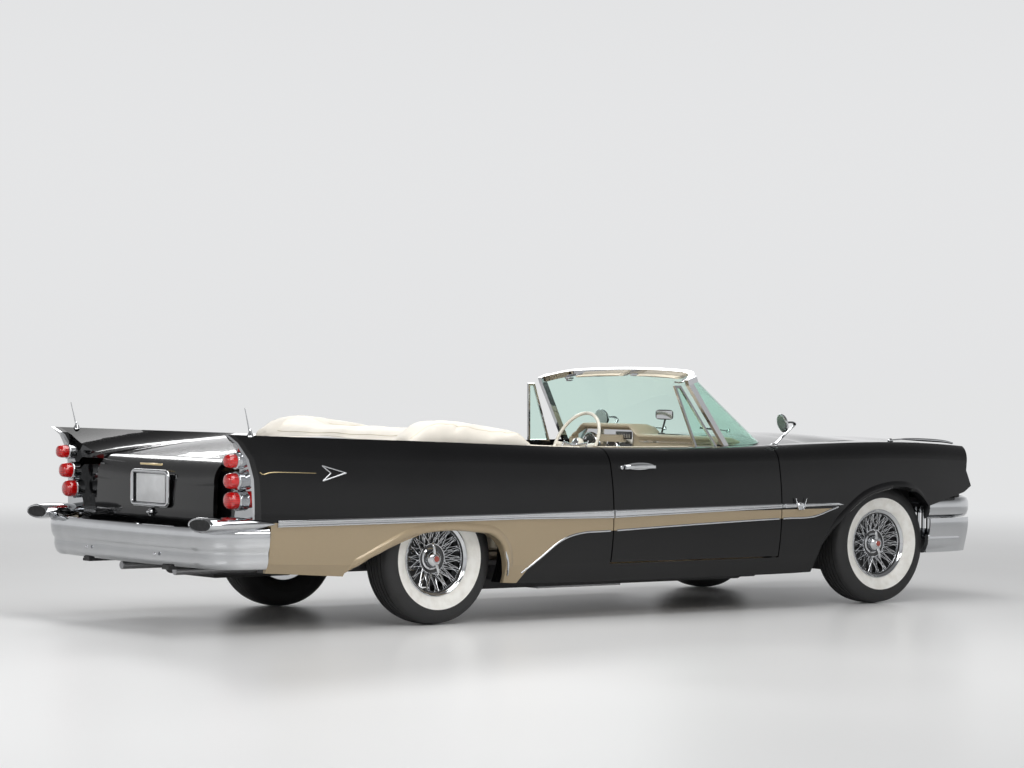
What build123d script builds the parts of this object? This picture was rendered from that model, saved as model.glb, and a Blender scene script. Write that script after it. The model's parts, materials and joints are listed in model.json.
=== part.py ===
from build123d import *
import os

# A two-door finned convertible of the late 1950s, in millimetres. +Z is up, the nose
# points along -Y, and the origin is on the ground under the middle of the car.
# Places along the car are distances behind the front axle.

# Driving sizes
overall_length = 5613.0
overall_width = 1986.0
wheelbase = 3200.0
front_overhang = 908.0
front_track = 1549.0
rear_track = 1516.0
belt_height = 950.0
trim_height = 598.0
half_width = overall_width / 2
front_axle_y = -overall_length / 2 + front_overhang
overrun = 60.0          # how far a cutter runs past what it cuts
panel_gap = 8.0         # gap round the doors and the boot lid
bonnet_gap = 9.0        # gap round the bonnet
seat_gap = 0.3          # gap between pieces that seat on each other
skin = 25.0             # thickness of bonnet, lid and deck panels
sheet = 20.0            # thickness of floor, firewall and inner panels

# Places of the panel joints, behind the front axle
bonnet_front_at = -770.0
bonnet_rear_at = 480.0
door_front_at = 880.0
door_rear_at = 2110.0
door_bottom_height = 312.0
deck_front_at = 3380.0
lid_front_at = 3800.0
tail_panel_at = 4391.0

# Tyres and wheels
tyre_radius = 355.0
tyre_width = 222.0
tyre_bulge_radius = 285.0
tread_width = 168.0
tread_crown = 9.0
rim_radius = 200.0
rim_width = 158.0
rim_wall = 7.0
rim_drop = 22.0
axle_height = tyre_radius

os.makedirs("parts", exist_ok=True)
pieces = {}


def at(distance):
    """The Y of a place that lies this far behind the front axle."""
    return front_axle_y + distance


def profile(shares):
    """Side profile points from (place as a share of the wheelbase, height as a share of the belt)."""
    return [(at(place * wheelbase), height * belt_height) for place, height in shares]


def block(left, right, front, rear, bottom, top, mode=Mode.ADD):
    """A box between these sides, its front and rear measured behind the front axle."""
    with Locations(((left + right) / 2, at((front + rear) / 2), (bottom + top) / 2)):
        Box(right - left, rear - front, top - bottom, mode=mode)


def side_slab(points, right, left=None, mode=Mode.ADD):
    """An outline seen from the side, made solid from one X to the other, or across the car."""
    with BuildSketch(Plane.YZ.offset(0 if left is None else right)) as outline:
        with BuildLine():
            Polyline(*points, close=True)
        make_face()
    if left is None:
        extrude(outline.sketch, amount=right, both=True, mode=mode)
    else:
        extrude(outline.sketch, amount=left - right, mode=mode)


def across(x, place, height, radius, length, mode=Mode.ADD):
    """A round bar along X from this point outwards."""
    with Locations(Location((x, at(place), height), (0, 90, 0))):
        Cylinder(radius, length, align=(Align.CENTER, Align.CENTER, Align.MIN), mode=mode)


def along(x, front, rear, height, radius, mode=Mode.ADD):
    """A round bar along the car from front to rear."""
    with Locations(Location((x, at(front), height), (-90, 0, 0))):
        Cylinder(radius, rear - front, align=(Align.CENTER, Align.CENTER, Align.MIN), mode=mode)


# The body side, as sections across the car. Places are shares of the wheelbase, widths
# are shares of the half width, and heights are shares of the belt height.
# columns: place, sill x, sill z, low x, low z, wide x, shoulder x, shoulder z,
#          crest x, crest z, inner x, inner z, sag of the top, wall
side_shares = [
    (-0.225, 0.911, 0.270, 0.921, 0.340, 0.947, 0.921, 0.884, 0.856, 0.974, 0.575, 0.967, -0.004, 0.068),
    (-0.110, 0.932, 0.262, 0.947, 0.340, 0.975, 0.952, 0.900, 0.886, 1.000, 0.597, 0.997, -0.004, 0.068),
    (0.000, 0.942, 0.250, 0.962, 0.340, 0.989, 0.965, 0.910, 0.896, 1.010, 0.625, 1.009, -0.004, 0.070),
    (0.194, 0.938, 0.220, 0.970, 0.334, 0.998, 0.968, 0.907, 0.884, 1.001, 0.735, 1.001, -0.003, 0.082),
    (0.275, 0.937, 0.216, 0.972, 0.332, 1.000, 0.969, 0.905, 0.874, 0.995, 0.785, 0.997, -0.002, 0.120),
    (0.470, 0.937, 0.216, 0.975, 0.332, 1.000, 0.967, 0.900, 0.868, 0.989, 0.790, 0.989, -0.002, 0.120),
    (0.660, 0.937, 0.216, 0.975, 0.332, 1.000, 0.965, 0.897, 0.872, 0.995, 0.785, 0.994, -0.002, 0.120),
    (0.844, 0.937, 0.226, 0.973, 0.332, 0.999, 0.962, 0.910, 0.886, 1.016, 0.685, 1.006, 0.004, 0.115),
    (1.031, 0.937, 0.263, 0.969, 0.347, 0.997, 0.957, 0.932, 0.901, 1.042, 0.634, 1.008, 0.012, 0.110),
    (1.219, 0.932, 0.305, 0.962, 0.368, 0.992, 0.952, 0.953, 0.911, 1.065, 0.624, 0.996, 0.030, 0.090),
    (1.344, 0.926, 0.332, 0.955, 0.384, 0.982, 0.947, 0.974, 0.917, 1.080, 0.624, 0.960, 0.042, 0.080),
    (1.444, 0.921, 0.342, 0.947, 0.389, 0.969, 0.942, 0.989, 0.922, 1.093, 0.624, 0.905, 0.050, 0.075),
]


def side_section(row, form, proud, thick):
    """One section of the body side: its full body, the hollow in it, or a strip standing proud of it."""
    (place, sill_x, sill_z, low_x, low_z, wide_x, shoulder_x, shoulder_z,
     crest_x, crest_z, inner_x, inner_z, sag, wall) = row
    sill = (sill_x * half_width, sill_z * belt_height)
    low = (low_x * half_width, low_z * belt_height)
    wide = (wide_x * half_width, trim_height)
    shoulder = (shoulder_x * half_width, shoulder_z * belt_height)
    crest = (crest_x * half_width, crest_z * belt_height)
    inner = (inner_x * half_width, inner_z * belt_height)
    top_middle = ((crest[0] + inner[0]) / 2, (crest[1] + inner[1]) / 2 - sag * belt_height)
    wall_x = wide[0] - wall * half_width
    wall_foot_x = sill[0] - wall * half_width
    with BuildSketch(Plane.XZ.offset(-at(place * wheelbase))) as section:
        with BuildLine():
            if form == "body":
                Line(sill, low)
                side = ThreePointArc(low, wide, shoulder)
                TangentArc(shoulder, crest, tangent=side % 1)
                ThreePointArc(crest, top_middle, inner)
                Polyline(inner, (inner[0], sill[1]), sill)
            elif form == "hollow":
                Polyline((inner[0] - overrun, inner[1] - skin), (wall_x, inner[1] - skin),
                         (wall_x, trim_height), (wall_foot_x, sill[1]), (wall_foot_x, 0),
                         (inner[0] - overrun, 0), close=True)
            else:
                outer = [(x + proud, z) for x, z in (low, wide, shoulder)]
                under = [(x - thick, z) for x, z in reversed(outer)]
                ThreePointArc(*outer)
                Line(outer[2], under[0])
                ThreePointArc(*under)
                Line(under[2], outer[0])
        make_face()
    return section.sketch


def side_loft(form, proud=0.0, thick=0.0, first=0):
    """The left body side along the whole car, or from one of its sections on."""
    sections = [side_section(row, form, proud, thick) for row in side_shares[first:]]
    with BuildPart() as side:
        loft(sections, ruled=form == "hollow")
    return side.part


side_body = side_loft("body")
with BuildPart() as side_shell:
    add(side_body)
    add(side_loft("hollow"), mode=Mode.SUBTRACT)
tail_body = side_loft("body", first=8)

# Wheel openings
front_arch_shares = [
    [(0.200, 0.100), (0.173, 0.384)],
    [(0.173, 0.384), (0.095, 0.614), (0.010, 0.716)],
    [(0.010, 0.716), (-0.062, 0.696), (-0.103, 0.560)],
    [(-0.103, 0.560), (-0.122, 0.100), (0.200, 0.100)],
]
rear_arch_shares = [
    [(1.218, 0.100), (1.206, 0.320)],
    [(1.206, 0.320), (1.130, 0.448), (1.061, 0.529)],
    [(1.061, 0.529), (1.003, 0.542), (0.944, 0.525)],
    [(0.944, 0.525), (0.901, 0.470), (0.884, 0.347)],
    [(0.884, 0.347), (0.880, 0.100), (1.218, 0.100)],
]
rear_well_radius = 402.0
rear_well_half_width = 925.0


def cut_arch(shares):
    """Cuts a wheel opening through the body side."""
    with BuildSketch(Plane.YZ) as opening:
        with BuildLine():
            for run in shares:
                points = profile(run)
                if run is shares[0]:
                    Line(*points)
                elif run is shares[-1]:
                    Polyline(*points)
                else:
                    ThreePointArc(*points)
        make_face()
    extrude(opening.sketch, amount=half_width + overrun, mode=Mode.SUBTRACT)


# Plan line of the joint between bonnet and wings, from its front to its rear
# columns: x and place
bonnet_edge_points = [(597.0, bonnet_front_at - overrun), (632.0, -150.0), (716.0, bonnet_rear_at)]


def bonnet_outline(gap, mode):
    """The bonnet's plan, moved out by the gap, as a tall block."""
    front, middle, rear = [(x + gap, at(place)) for x, place in bonnet_edge_points]
    rear = (rear[0], rear[1] + gap)
    with BuildSketch() as outline:
        with BuildLine():
            ThreePointArc(front, middle, rear)
            Line(rear, (-rear[0], rear[1]))
            ThreePointArc((-rear[0], rear[1]), (-middle[0], middle[1]), (-front[0], front[1]))
            Line((-front[0], front[1]), front)
        make_face()
    extrude(outline.sketch, amount=2 * belt_height, mode=mode)


# Front wings, with the hooded edge over the headlamps
wing_rear_share = (door_front_at - panel_gap / 2) / wheelbase
wing_shares = [
    (wing_rear_share, 1.20), (-0.2125, 1.20), (-0.2125, 0.961), (-0.2010, 0.825), (-0.2113, 0.727),
    (-0.1916, 0.689), (-0.0950, 0.608), (0.030, 0.608), (0.030, 0.100), (wing_rear_share, 0.100),
]
with BuildPart() as front_wings:
    add(side_shell.part)
    side_slab(profile(wing_shares), 0, half_width + overrun, Mode.INTERSECT)
    cut_arch(front_arch_shares)
    bonnet_outline(bonnet_gap / 2, Mode.SUBTRACT)
    mirror(about=Plane.YZ)
pieces["front_wings"] = front_wings

# Doors. The rear face leans forward inside the jamb corner, which the swing needs.
jamb_corner_x = 890.0
jamb_inner_x = 780.0
jamb_lean = 12.0
with BuildPart() as door_left:
    add(side_shell.part)
    with BuildSketch(Plane.XY.offset(door_bottom_height)):
        with BuildLine():
            Polyline((0, at(door_front_at + panel_gap / 2)),
                     (half_width + overrun, at(door_front_at + panel_gap / 2)),
                     (half_width + overrun, at(door_rear_at - panel_gap / 2)),
                     (jamb_corner_x, at(door_rear_at - panel_gap / 2)),
                     (jamb_inner_x, at(door_rear_at - panel_gap / 2 - jamb_lean)),
                     (0, at(door_rear_at - panel_gap / 2 - jamb_lean)), close=True)
        make_face()
    extrude(amount=belt_height, mode=Mode.INTERSECT)
with BuildPart() as door_right:
    mirror(door_left.part, about=Plane.YZ)
pieces["door_left"] = door_left
pieces["door_right"] = door_right

# Sills under the doors, each with a bearing pad that its door stands on near the hinge
pad_left = 935.0
pad_width = 20.0
pad_at = 892.0
pad_length = 30.0
with BuildPart() as sills:
    add(side_shell.part)
    block(0, half_width + overrun, door_front_at - panel_gap / 2, door_rear_at + panel_gap / 2,
          0, door_bottom_height - panel_gap, Mode.INTERSECT)
    block(pad_left, pad_left + pad_width, pad_at, pad_at + pad_length,
          door_bottom_height - 2 * panel_gap, door_bottom_height - seat_gap)
    mirror(about=Plane.YZ)
pieces["sills"] = sills

# Rear quarters with the fins. The tail edge leans back up to the fin's tip.
quarter_front_share = (door_rear_at + panel_gap / 2) / wheelbase
tower_edge_shares = [(1.4390, 1.105), (1.4160, 1.045), (1.3990, 0.955), (1.3925, 0.850), (1.3900, 0.590)]
tower_width_share = 0.016
tower_front_shares = [(place - tower_width_share, height) for place, height in tower_edge_shares]
quarter_shares = (
    [(quarter_front_share, 0.100), (quarter_front_share, 1.200), (tower_front_shares[0][0], 1.200)]
    + tower_front_shares + [(1.3560, 0.590), (1.3560, 0.100)]
)
with BuildPart() as rear_quarters:
    add(side_shell.part)
    side_slab(profile(quarter_shares), 0, half_width + overrun, Mode.INTERSECT)
    cut_arch(rear_arch_shares)
    across(0, wheelbase, axle_height, rear_well_radius, rear_well_half_width, Mode.SUBTRACT)
    mirror(about=Plane.YZ)
pieces["rear_quarters"] = rear_quarters

# Lamp towers: the bright ends of the fins, each with three lamp shells
tower_foot_x = 790.0
tower_tip_x = 893.0
lamp_length = 40.0
lens_length = 64.0
lens_round = 26.0
bezel_wall = 7.0
# columns: x, place, height, lens radius
lamps = [(885.0, 4566.0, 900.0, 36.0), (870.0, 4552.0, 796.0, 41.0), (854.0, 4539.0, 695.0, 46.0)]
with BuildPart() as tail_lamp_towers:
    add(tail_body)
    side_slab(profile(tower_front_shares[::-1] + tower_edge_shares), 0, half_width + overrun, Mode.INTERSECT)
    with BuildSketch(Plane.XZ.offset(-at(0))):
        with BuildLine():
            Polyline((0, 0), (tower_foot_x, 0), (tower_foot_x, trim_height), (tower_tip_x, belt_height),
                     (tower_tip_x, belt_height + overall_width), (0, belt_height + overall_width),
                     close=True)
        make_face()
    extrude(amount=-overall_length, mode=Mode.SUBTRACT)
    for x, place, height, radius in lamps:
        along(x, place - lens_length - lamp_length, place - lens_length, height, radius + bezel_wall)
    for x, place, height, radius in lamps:
        along(x, place - lens_length - lamp_length / 2, place, height, radius + seat_gap, Mode.SUBTRACT)
    mirror(about=Plane.YZ)
pieces["tail_lamp_towers"] = tail_lamp_towers

with BuildPart() as tail_lamps:
    for x, place, height, radius in lamps:
        with BuildPart(mode=Mode.PRIVATE) as lens:
            along(x, place - lens_length - lamp_length / 2 + seat_gap, place, height, radius)
            fillet(lens.edges().group_by(Axis.Y)[-1], lens_round)
        add(lens.part)
    mirror(about=Plane.YZ)
pieces["tail_lamps"] = tail_lamps


def crowned_loft(shares, side_gap, thick):
    """A crowned sheet across the car. columns: place, half width, edge height, middle height."""
    sections = []
    for place, half_share, edge_share, middle_share in shares:
        half = half_share * half_width - side_gap
        edge = edge_share * belt_height
        middle = middle_share * belt_height
        with BuildSketch(Plane.XZ.offset(-at(place * wheelbase)), mode=Mode.PRIVATE) as section:
            with BuildLine():
                ThreePointArc((-half, edge), (0, middle), (half, edge))
                Line((half, edge), (half, edge - thick))
                ThreePointArc((half, edge - thick), (0, middle - thick), (-half, edge - thick))
                Line((-half, edge - thick), (-half, edge))
            make_face()
        sections.append(section.sketch)
    loft(sections)


# Bonnet. columns: place, half width, edge height, middle height
bonnet_shares = [
    (-0.2406, 0.640, 0.900, 0.930), (-0.2180, 0.640, 0.960, 0.988), (-0.1100, 0.660, 0.993, 1.020),
    (0.0000, 0.690, 1.007, 1.042), (0.0800, 0.720, 1.005, 1.050), (0.1600, 0.755, 1.002, 1.052),
]
bonnet_corner = 25.0
with BuildPart() as bonnet:
    crowned_loft(bonnet_shares, 0, skin)
    bonnet_outline(-bonnet_gap / 2, Mode.INTERSECT)
    block(-half_width, half_width, bonnet_front_at, bonnet_rear_at, 0, 2 * belt_height, Mode.INTERSECT)
    fillet(bonnet.edges().filter_by(Axis.Z).group_by(Axis.Y)[-1], bonnet_corner)
pieces["bonnet"] = bonnet

# Cowl between the bonnet and the windscreen, running back beside the dashboard
cowl_shares = [(0.1450, 0.717, 1.003, 1.052), (0.2000, 0.752, 1.000, 1.052), (0.2750, 0.797, 0.996, 1.046),
               (0.3560, 0.800, 0.991, 1.035)]
cowl_rear_at = 1128.0
cowl_arm_x = 700.0
cowl_opening_at = 905.0
cowl_door_gap = 10.0
with BuildPart() as cowl_core:
    crowned_loft(cowl_shares, 0, 4 * skin)
with BuildPart() as cowl_fence:
    add(side_body.moved(Location((-seat_gap, 0, 0))))
    block(side_shares[4][10] * half_width - cowl_door_gap, half_width, door_front_at - panel_gap,
          cowl_rear_at + overrun, belt_height / 2, 2 * belt_height)
    mirror(about=Plane.YZ)
with BuildPart() as cowl:
    crowned_loft(cowl_shares, 0, skin)
    block(-half_width, half_width, bonnet_rear_at + bonnet_gap / 2, cowl_rear_at, 0, 2 * belt_height,
          Mode.INTERSECT)
    with BuildSketch():
        with BuildLine():
            ThreePointArc((-cowl_arm_x, at(cowl_rear_at - overrun)), (0, at(cowl_opening_at)),
                          (cowl_arm_x, at(cowl_rear_at - overrun)))
            Polyline((cowl_arm_x, at(cowl_rear_at - overrun)), (cowl_arm_x, at(wheelbase / 2)),
                     (-cowl_arm_x, at(wheelbase / 2)), (-cowl_arm_x, at(cowl_rear_at - overrun)))
        make_face()
    extrude(amount=2 * belt_height, mode=Mode.SUBTRACT)
    add(cowl_fence.part, mode=Mode.SUBTRACT)
pieces["cowl"] = cowl

# Rear deck between the folded top and the boot lid
deck_shares = [(1.0563, 0.631, 1.006, 1.056), (1.1200, 0.627, 1.003, 1.054), (1.1860, 0.622, 0.999, 1.052)]
with BuildPart() as rear_deck:
    crowned_loft(deck_shares, seat_gap, skin)
    block(-half_width, half_width, deck_front_at, lid_front_at - panel_gap / 2, 0, 2 * belt_height,
          Mode.INTERSECT)
pieces["rear_deck"] = rear_deck

# Boot lid: profiles along its sides and middle, as points on arcs from its front to its foot
lid_side_gap = 8.0
lid_half_width = 0.624 * half_width - lid_side_gap
lid_front_share = (lid_front_at + panel_gap / 2) / wheelbase
lid_edge_shares = [(lid_front_share, 0.998), (1.2800, 0.982), (1.3560, 0.945), (1.3850, 0.905),
                   (1.3945, 0.800), (1.3960, 0.700), (1.3955, 0.600)]
lid_middle_shares = [(lid_front_share, 1.051), (1.2800, 1.012), (1.3560, 0.948), (1.3870, 0.890),
                     (1.3970, 0.790), (1.3985, 0.700), (1.3980, 0.600)]
# how much of the skin the inner face lies ahead of and below each point of the outer one
lid_inset_shares = [(0, 1), (0.1, 1), (0.5, 0.9), (0.9, 0.5), (1, 0.1), (1, 0), (1, 0)]


def lid_section(x, shares):
    """A side profile of the boot lid in the plane at this x, as thick as the skin."""
    outer = profile(shares)
    inner = [(y - ahead * skin, z - below * skin)
             for (y, z), (ahead, below) in zip(outer, lid_inset_shares)]
    with BuildSketch(Plane.YZ.offset(x)) as section:
        with BuildLine():
            for face in (outer, inner):
                for first in (0, 2, 4):
                    ThreePointArc(*face[first:first + 3])
            Line(outer[0], inner[0])
            Line(outer[-1], inner[-1])
        make_face()
    return section.sketch


lid_sections = [lid_section(-lid_half_width, lid_edge_shares), lid_section(0, lid_middle_shares),
                lid_section(lid_half_width, lid_edge_shares)]
with BuildPart() as boot_lid:
    loft(lid_sections)
pieces["boot_lid"] = boot_lid

# Number plate holder on the lid
plate_width = 400.0
plate_height = 200.0
plate_middle_height = 728.0
plate_border = 16.0
plate_depth = 24.0
plate_at = 1.3985 * wheelbase
with BuildPart() as plate_holder:
    block(-plate_width / 2, plate_width / 2, plate_at + seat_gap, plate_at + plate_depth,
          plate_middle_height - plate_height / 2, plate_middle_height + plate_height / 2)
    fillet(plate_holder.edges().filter_by(Axis.Y), plate_border)
    block(-plate_width / 2 + plate_border, plate_width / 2 - plate_border, plate_at + plate_depth / 2,
          plate_at + plate_depth, plate_middle_height - plate_height / 2 + plate_border,
          plate_middle_height + plate_height / 2 - plate_border, Mode.SUBTRACT)
pieces["plate_holder"] = plate_holder

# Tail panel: the rear face beside and below the lid, with the boot's opening
tail_panel_half = 885.0
tail_panel_bottom = 345.0
tail_opening_half = 560.0
tail_opening_bottom = 600.0
lid_lock_half = 60.0
lid_lock_depth = 60.0
lid_lock_height = 20.0
tail_top_shares = [(0.891, 0.870), (0.624, 0.880), (0.570, 0.880)]
with BuildPart() as tail_panel:
    with BuildSketch(Plane.XZ.offset(-at(tail_panel_at + sheet))):
        with BuildLine():
            Polyline(
                (0, tail_panel_bottom), (tail_panel_half, tail_panel_bottom),
                *[(x * half_width, z * belt_height) for x, z in tail_top_shares],
                (tail_opening_half, tail_opening_bottom), (0, tail_opening_bottom), close=True)
        make_face()
    extrude(amount=sheet)
    mirror(about=Plane.YZ)
    block(-lid_lock_half, lid_lock_half, tail_panel_at + sheet, tail_panel_at + sheet + lid_lock_depth,
          tail_opening_bottom - lid_lock_height, tail_opening_bottom)
    add(boot_lid.part.moved(Location((0, -seat_gap, 0))), mode=Mode.SUBTRACT)
    add(tail_lamp_towers.part, mode=Mode.SUBTRACT)
pieces["tail_panel"] = tail_panel

# Nose panel behind the bumper and under the bonnet's lip, with the headlamps
nose_half = 876.0
nose_bottom = 600.3
nose_top = 786.0
nose_wing_top = 868.0
nose_wing_x = 545.0
nose_front_at = -775.0
nose_corner_at = -640.0
headlamp_height = 778.0
headlamp_radius = 74.0
headlamp_depth = 60.0
headlamp_places = [(625.0, -716.0), (793.0, -690.0)]   # x and place of each left lamp
with BuildPart() as nose_panel:
    with BuildSketch(Plane.XY.offset(nose_bottom)):
        with BuildLine():
            ThreePointArc((-nose_half, at(nose_corner_at)), (0, at(nose_front_at)),
                          (nose_half, at(nose_corner_at)))
            Line((nose_half, at(nose_corner_at)), (nose_half, at(nose_corner_at + 2 * sheet)))
            ThreePointArc((nose_half, at(nose_corner_at + 2 * sheet)), (0, at(nose_front_at + 2 * sheet)),
                          (-nose_half, at(nose_corner_at + 2 * sheet)))
            Line((-nose_half, at(nose_corner_at + 2 * sheet)), (-nose_half, at(nose_corner_at)))
        make_face()
    extrude(amount=nose_wing_top - nose_bottom)
    block(-nose_wing_x, nose_wing_x, nose_front_at - overrun, 0, nose_top, nose_wing_top + overrun,
          Mode.SUBTRACT)
    for x, place in headlamp_places:
        for side in (-1, 1):
            along(side * x, place - headlamp_depth, place + 2 * headlamp_depth, headlamp_height,
                  headlamp_radius + bezel_wall + seat_gap, Mode.SUBTRACT)
pieces["nose_panel"] = nose_panel

# Headlamp shells and their lenses
with BuildPart() as headlamp_bezels:
    for x, place in headlamp_places:
        along(x, place, place + 2 * headlamp_depth, headlamp_height, headlamp_radius + bezel_wall)
        along(x, place, place + headlamp_depth, headlamp_height, headlamp_radius + seat_gap, Mode.SUBTRACT)
    mirror(about=Plane.YZ)
pieces["headlamp_bezels"] = headlamp_bezels
with BuildPart() as headlamps:
    for x, place in headlamp_places:
        along(x, place + bezel_wall, place + headlamp_depth - seat_gap, headlamp_height, headlamp_radius)
    mirror(about=Plane.YZ)
pieces["headlamps"] = headlamps

# Front bumper: an upper and a lower bar, joined by the ends that wrap round to the wheels
bumper_thick = 38.0
bumper_end_at = -335.0
upper_bar_bottom = 500.0
upper_bar_top = 600.0
lower_bar_bottom = 290.0
lower_bar_top = 400.0
bumper_end_top = 560.0
front_bar_points = [(945.0, bumper_end_at), (928.0, -600.0), (800.0, -790.0), (550.0, -868.0),
                    (0.0, -front_overhang)]


def bumper_band(points, thick, bottom, top, mode=Mode.ADD):
    """A bumper bar that wraps round both ends. Points run in plan from its left end inwards."""
    end, bend, corner, inner_corner, middle = [(x, at(place)) for x, place in points]
    with BuildSketch(Plane.XY.offset(bottom)) as band:
        with BuildLine():
            Line(end, bend)
            ThreePointArc(bend, corner, inner_corner)
            ThreePointArc(inner_corner, middle, (-inner_corner[0], inner_corner[1]))
            ThreePointArc((-inner_corner[0], inner_corner[1]), (-corner[0], corner[1]), (-bend[0], bend[1]))
            Line((-bend[0], bend[1]), (-end[0], end[1]))
            offset(amount=thick, side=Side.LEFT if points[0][1] < points[1][1] else Side.RIGHT)
        make_face()
    extrude(band.sketch, amount=top - bottom, mode=mode)


with BuildPart() as front_bumper:
    bumper_band(front_bar_points, bumper_thick, lower_bar_bottom, upper_bar_top)
    block(-half_width, half_width, -overall_length, front_bar_points[1][1], lower_bar_top, upper_bar_bottom,
          Mode.SUBTRACT)
    block(-half_width, half_width, front_bar_points[1][1], 0, bumper_end_top, upper_bar_top + overrun,
          Mode.SUBTRACT)
pieces["front_bumper"] = front_bumper

# Grille: upright bars between the two bumper bars
grille_bar_pitch = 42.0
grille_bar_width = 14.0
grille_depth = 18.0
grille_half = 690.0
grille_at = -785.0
grille_bottom = 340.5
grille_top = 560.0
with BuildPart() as grille:
    block(-grille_half, grille_half, grille_at, grille_at + grille_depth, grille_bottom, grille_top)
    bar_count = int(2 * grille_half / grille_bar_pitch)
    with Locations((0, at(grille_at), (grille_bottom + grille_top) / 2)):
        with GridLocations(grille_bar_pitch, grille_bar_pitch, bar_count, 1):
            Box(grille_bar_pitch - grille_bar_width, overrun, grille_top - grille_bottom - 2 * sheet,
                mode=Mode.SUBTRACT)
pieces["grille"] = grille

# Rear bumper with the two pods, which taper forward along the quarters
rear_bar_bottom = 335.0
rear_bar_top = 552.0
rear_bar_points = [(988.0, 4352.0), (966.0, 4500.0), (880.0, 4610.0), (700.0, 4652.0), (0.0, 4688.0)]
pod_mouth_depth = 60.0
pod_wall = 9.0
# columns: place, x of the middle, height of the middle, half width, half height
pod_sections = [(4705.0, 865.0, 572.0, 115.0, 38.0), (4600.0, 872.0, 573.0, 122.0, 43.0),
                (4450.0, 925.0, 574.0, 74.0, 34.0), (4325.0, 985.0, 575.0, 10.0, 6.0)]
with BuildPart() as rear_bumper:
    bumper_band(rear_bar_points, bumper_thick, rear_bar_bottom, rear_bar_top)
    pod_faces = []
    for place, x, height, half_x, half_z in pod_sections:
        with BuildSketch(Plane.XZ.offset(-at(place)), mode=Mode.PRIVATE) as section:
            with Locations((x, height)):
                Ellipse(half_x, half_z)
        pod_faces.append(section.sketch)
    loft(pod_faces)
    place, x, height, half_x, half_z = pod_sections[0]
    with BuildSketch(Plane.XZ.offset(-at(place)), mode=Mode.PRIVATE) as mouth:
        with Locations((x, height)):
            Ellipse(half_x - pod_wall, half_z - pod_wall)
    extrude(mouth.sketch, amount=pod_mouth_depth, mode=Mode.SUBTRACT)
    mirror(about=Plane.YZ)
    for neighbour in (rear_quarters, tail_lamp_towers, tail_panel):
        add(neighbour.part, mode=Mode.SUBTRACT)
pieces["rear_bumper"] = rear_bumper

# Bright strip along the body side, in one stretch on each panel
trim_stand = 9.0
trim_shares = [(0.1270, 0.6310), (0.1400, 0.6421), (0.2788, 0.6453), (0.6630, 0.6347), (0.8613, 0.6284),
               (1.3440, 0.6232), (1.3440, 0.5863), (0.8613, 0.5958), (0.6630, 0.5884), (0.2788, 0.6211)]
side_strip = side_loft("strip", trim_stand, trim_stand - seat_gap)
with BuildPart() as long_strip:
    add(side_strip)
    side_slab(profile(trim_shares), 0, half_width + overrun, Mode.INTERSECT)
with BuildPart() as body_trims:
    add(long_strip.part)
    block(0, half_width + overrun, door_front_at - 1.5 * panel_gap - trim_stand, door_rear_at + panel_gap / 2,
          0, belt_height, Mode.SUBTRACT)
    mirror(about=Plane.YZ)
pieces["body_trims"] = body_trims

# Door fittings: the door's stretch of the strip, and the pull handle
handle_front_at = 1815.0
handle_length = 205.0
handle_height = 838.0
handle_x = 978.0
handle_bar = 15.0
handle_reach = 28.0
with BuildPart() as door_fittings_left:
    add(long_strip.part)
    block(0, half_width + overrun, door_front_at + panel_gap / 2, door_rear_at - panel_gap / 2,
          0, belt_height, Mode.INTERSECT)
    block(handle_x, handle_x + handle_bar, handle_front_at, handle_front_at + handle_length,
          handle_height - handle_bar / 2, handle_height + handle_bar / 2)
    for place in (handle_front_at, handle_front_at + handle_length - handle_bar):
        block(handle_x - handle_reach, handle_x + handle_bar / 2, place, place + handle_bar,
              handle_height - handle_bar / 2, handle_height + handle_bar / 2)
    add(side_body, mode=Mode.SUBTRACT)
with BuildPart() as door_fittings_right:
    mirror(door_fittings_left.part, about=Plane.YZ)
pieces["door_fittings_left"] = door_fittings_left
pieces["door_fittings_right"] = door_fittings_right

# Windscreen, wrapped round to upright pillars. The header lies in a leaning plane.
glass_thick = 6.0
header_lean = 19.0
header_middle_at = 1150.0
header_middle_height = 1358.0
header_corner_x = 702.0
header_corner_run = 172.0       # from the header's middle back to its corner
header_knee_x = 510.0
header_knee_run = 38.0
header_section = 34.0
foot_middle_at = 572.0
foot_knee_x = 610.0
foot_knee_at = 706.0
foot_end_x = 764.0
foot_end_at = 1085.0
foot_height = 930.0
foot_plane = Plane.XY.offset(foot_height)
header_plane = Plane((0, at(header_middle_at), header_middle_height), x_dir=(1, 0, 0)).rotated(
    (-header_lean, 0, 0))


def screen_curve(knee, end, middle):
    """The plan curve of the screen, from its left end round to its right end."""
    front = ThreePointArc((-knee[0], knee[1]), middle, knee)
    left = TangentArc(knee, end, tangent=front % 1)
    TangentArc((-knee[0], knee[1]), (-end[0], end[1]), tangent=-(front % 0))
    return left


def screen_band(plane, knee, end, middle, thick):
    """A closed band that follows the screen's curve in this plane."""
    with BuildSketch(plane) as band:
        with BuildLine():
            screen_curve(knee, end, middle)
            offset(amount=thick, side=Side.LEFT)
        make_face()
    return band.sketch


foot_curve = ((foot_knee_x, at(foot_knee_at)), (foot_end_x, at(foot_end_at)), (0, at(foot_middle_at)))
header_curve = ((header_knee_x, header_knee_run), (header_corner_x, header_corner_run), (0, 0))
with BuildPart() as windscreen_glass:
    loft([screen_band(foot_plane, *foot_curve, glass_thick),
          screen_band(header_plane, *header_curve, glass_thick)])
    add(cowl_core.part, mode=Mode.SUBTRACT)
pieces["windscreen_glass"] = windscreen_glass
header = screen_band(header_plane.offset(seat_gap), *header_curve, header_section)


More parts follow.
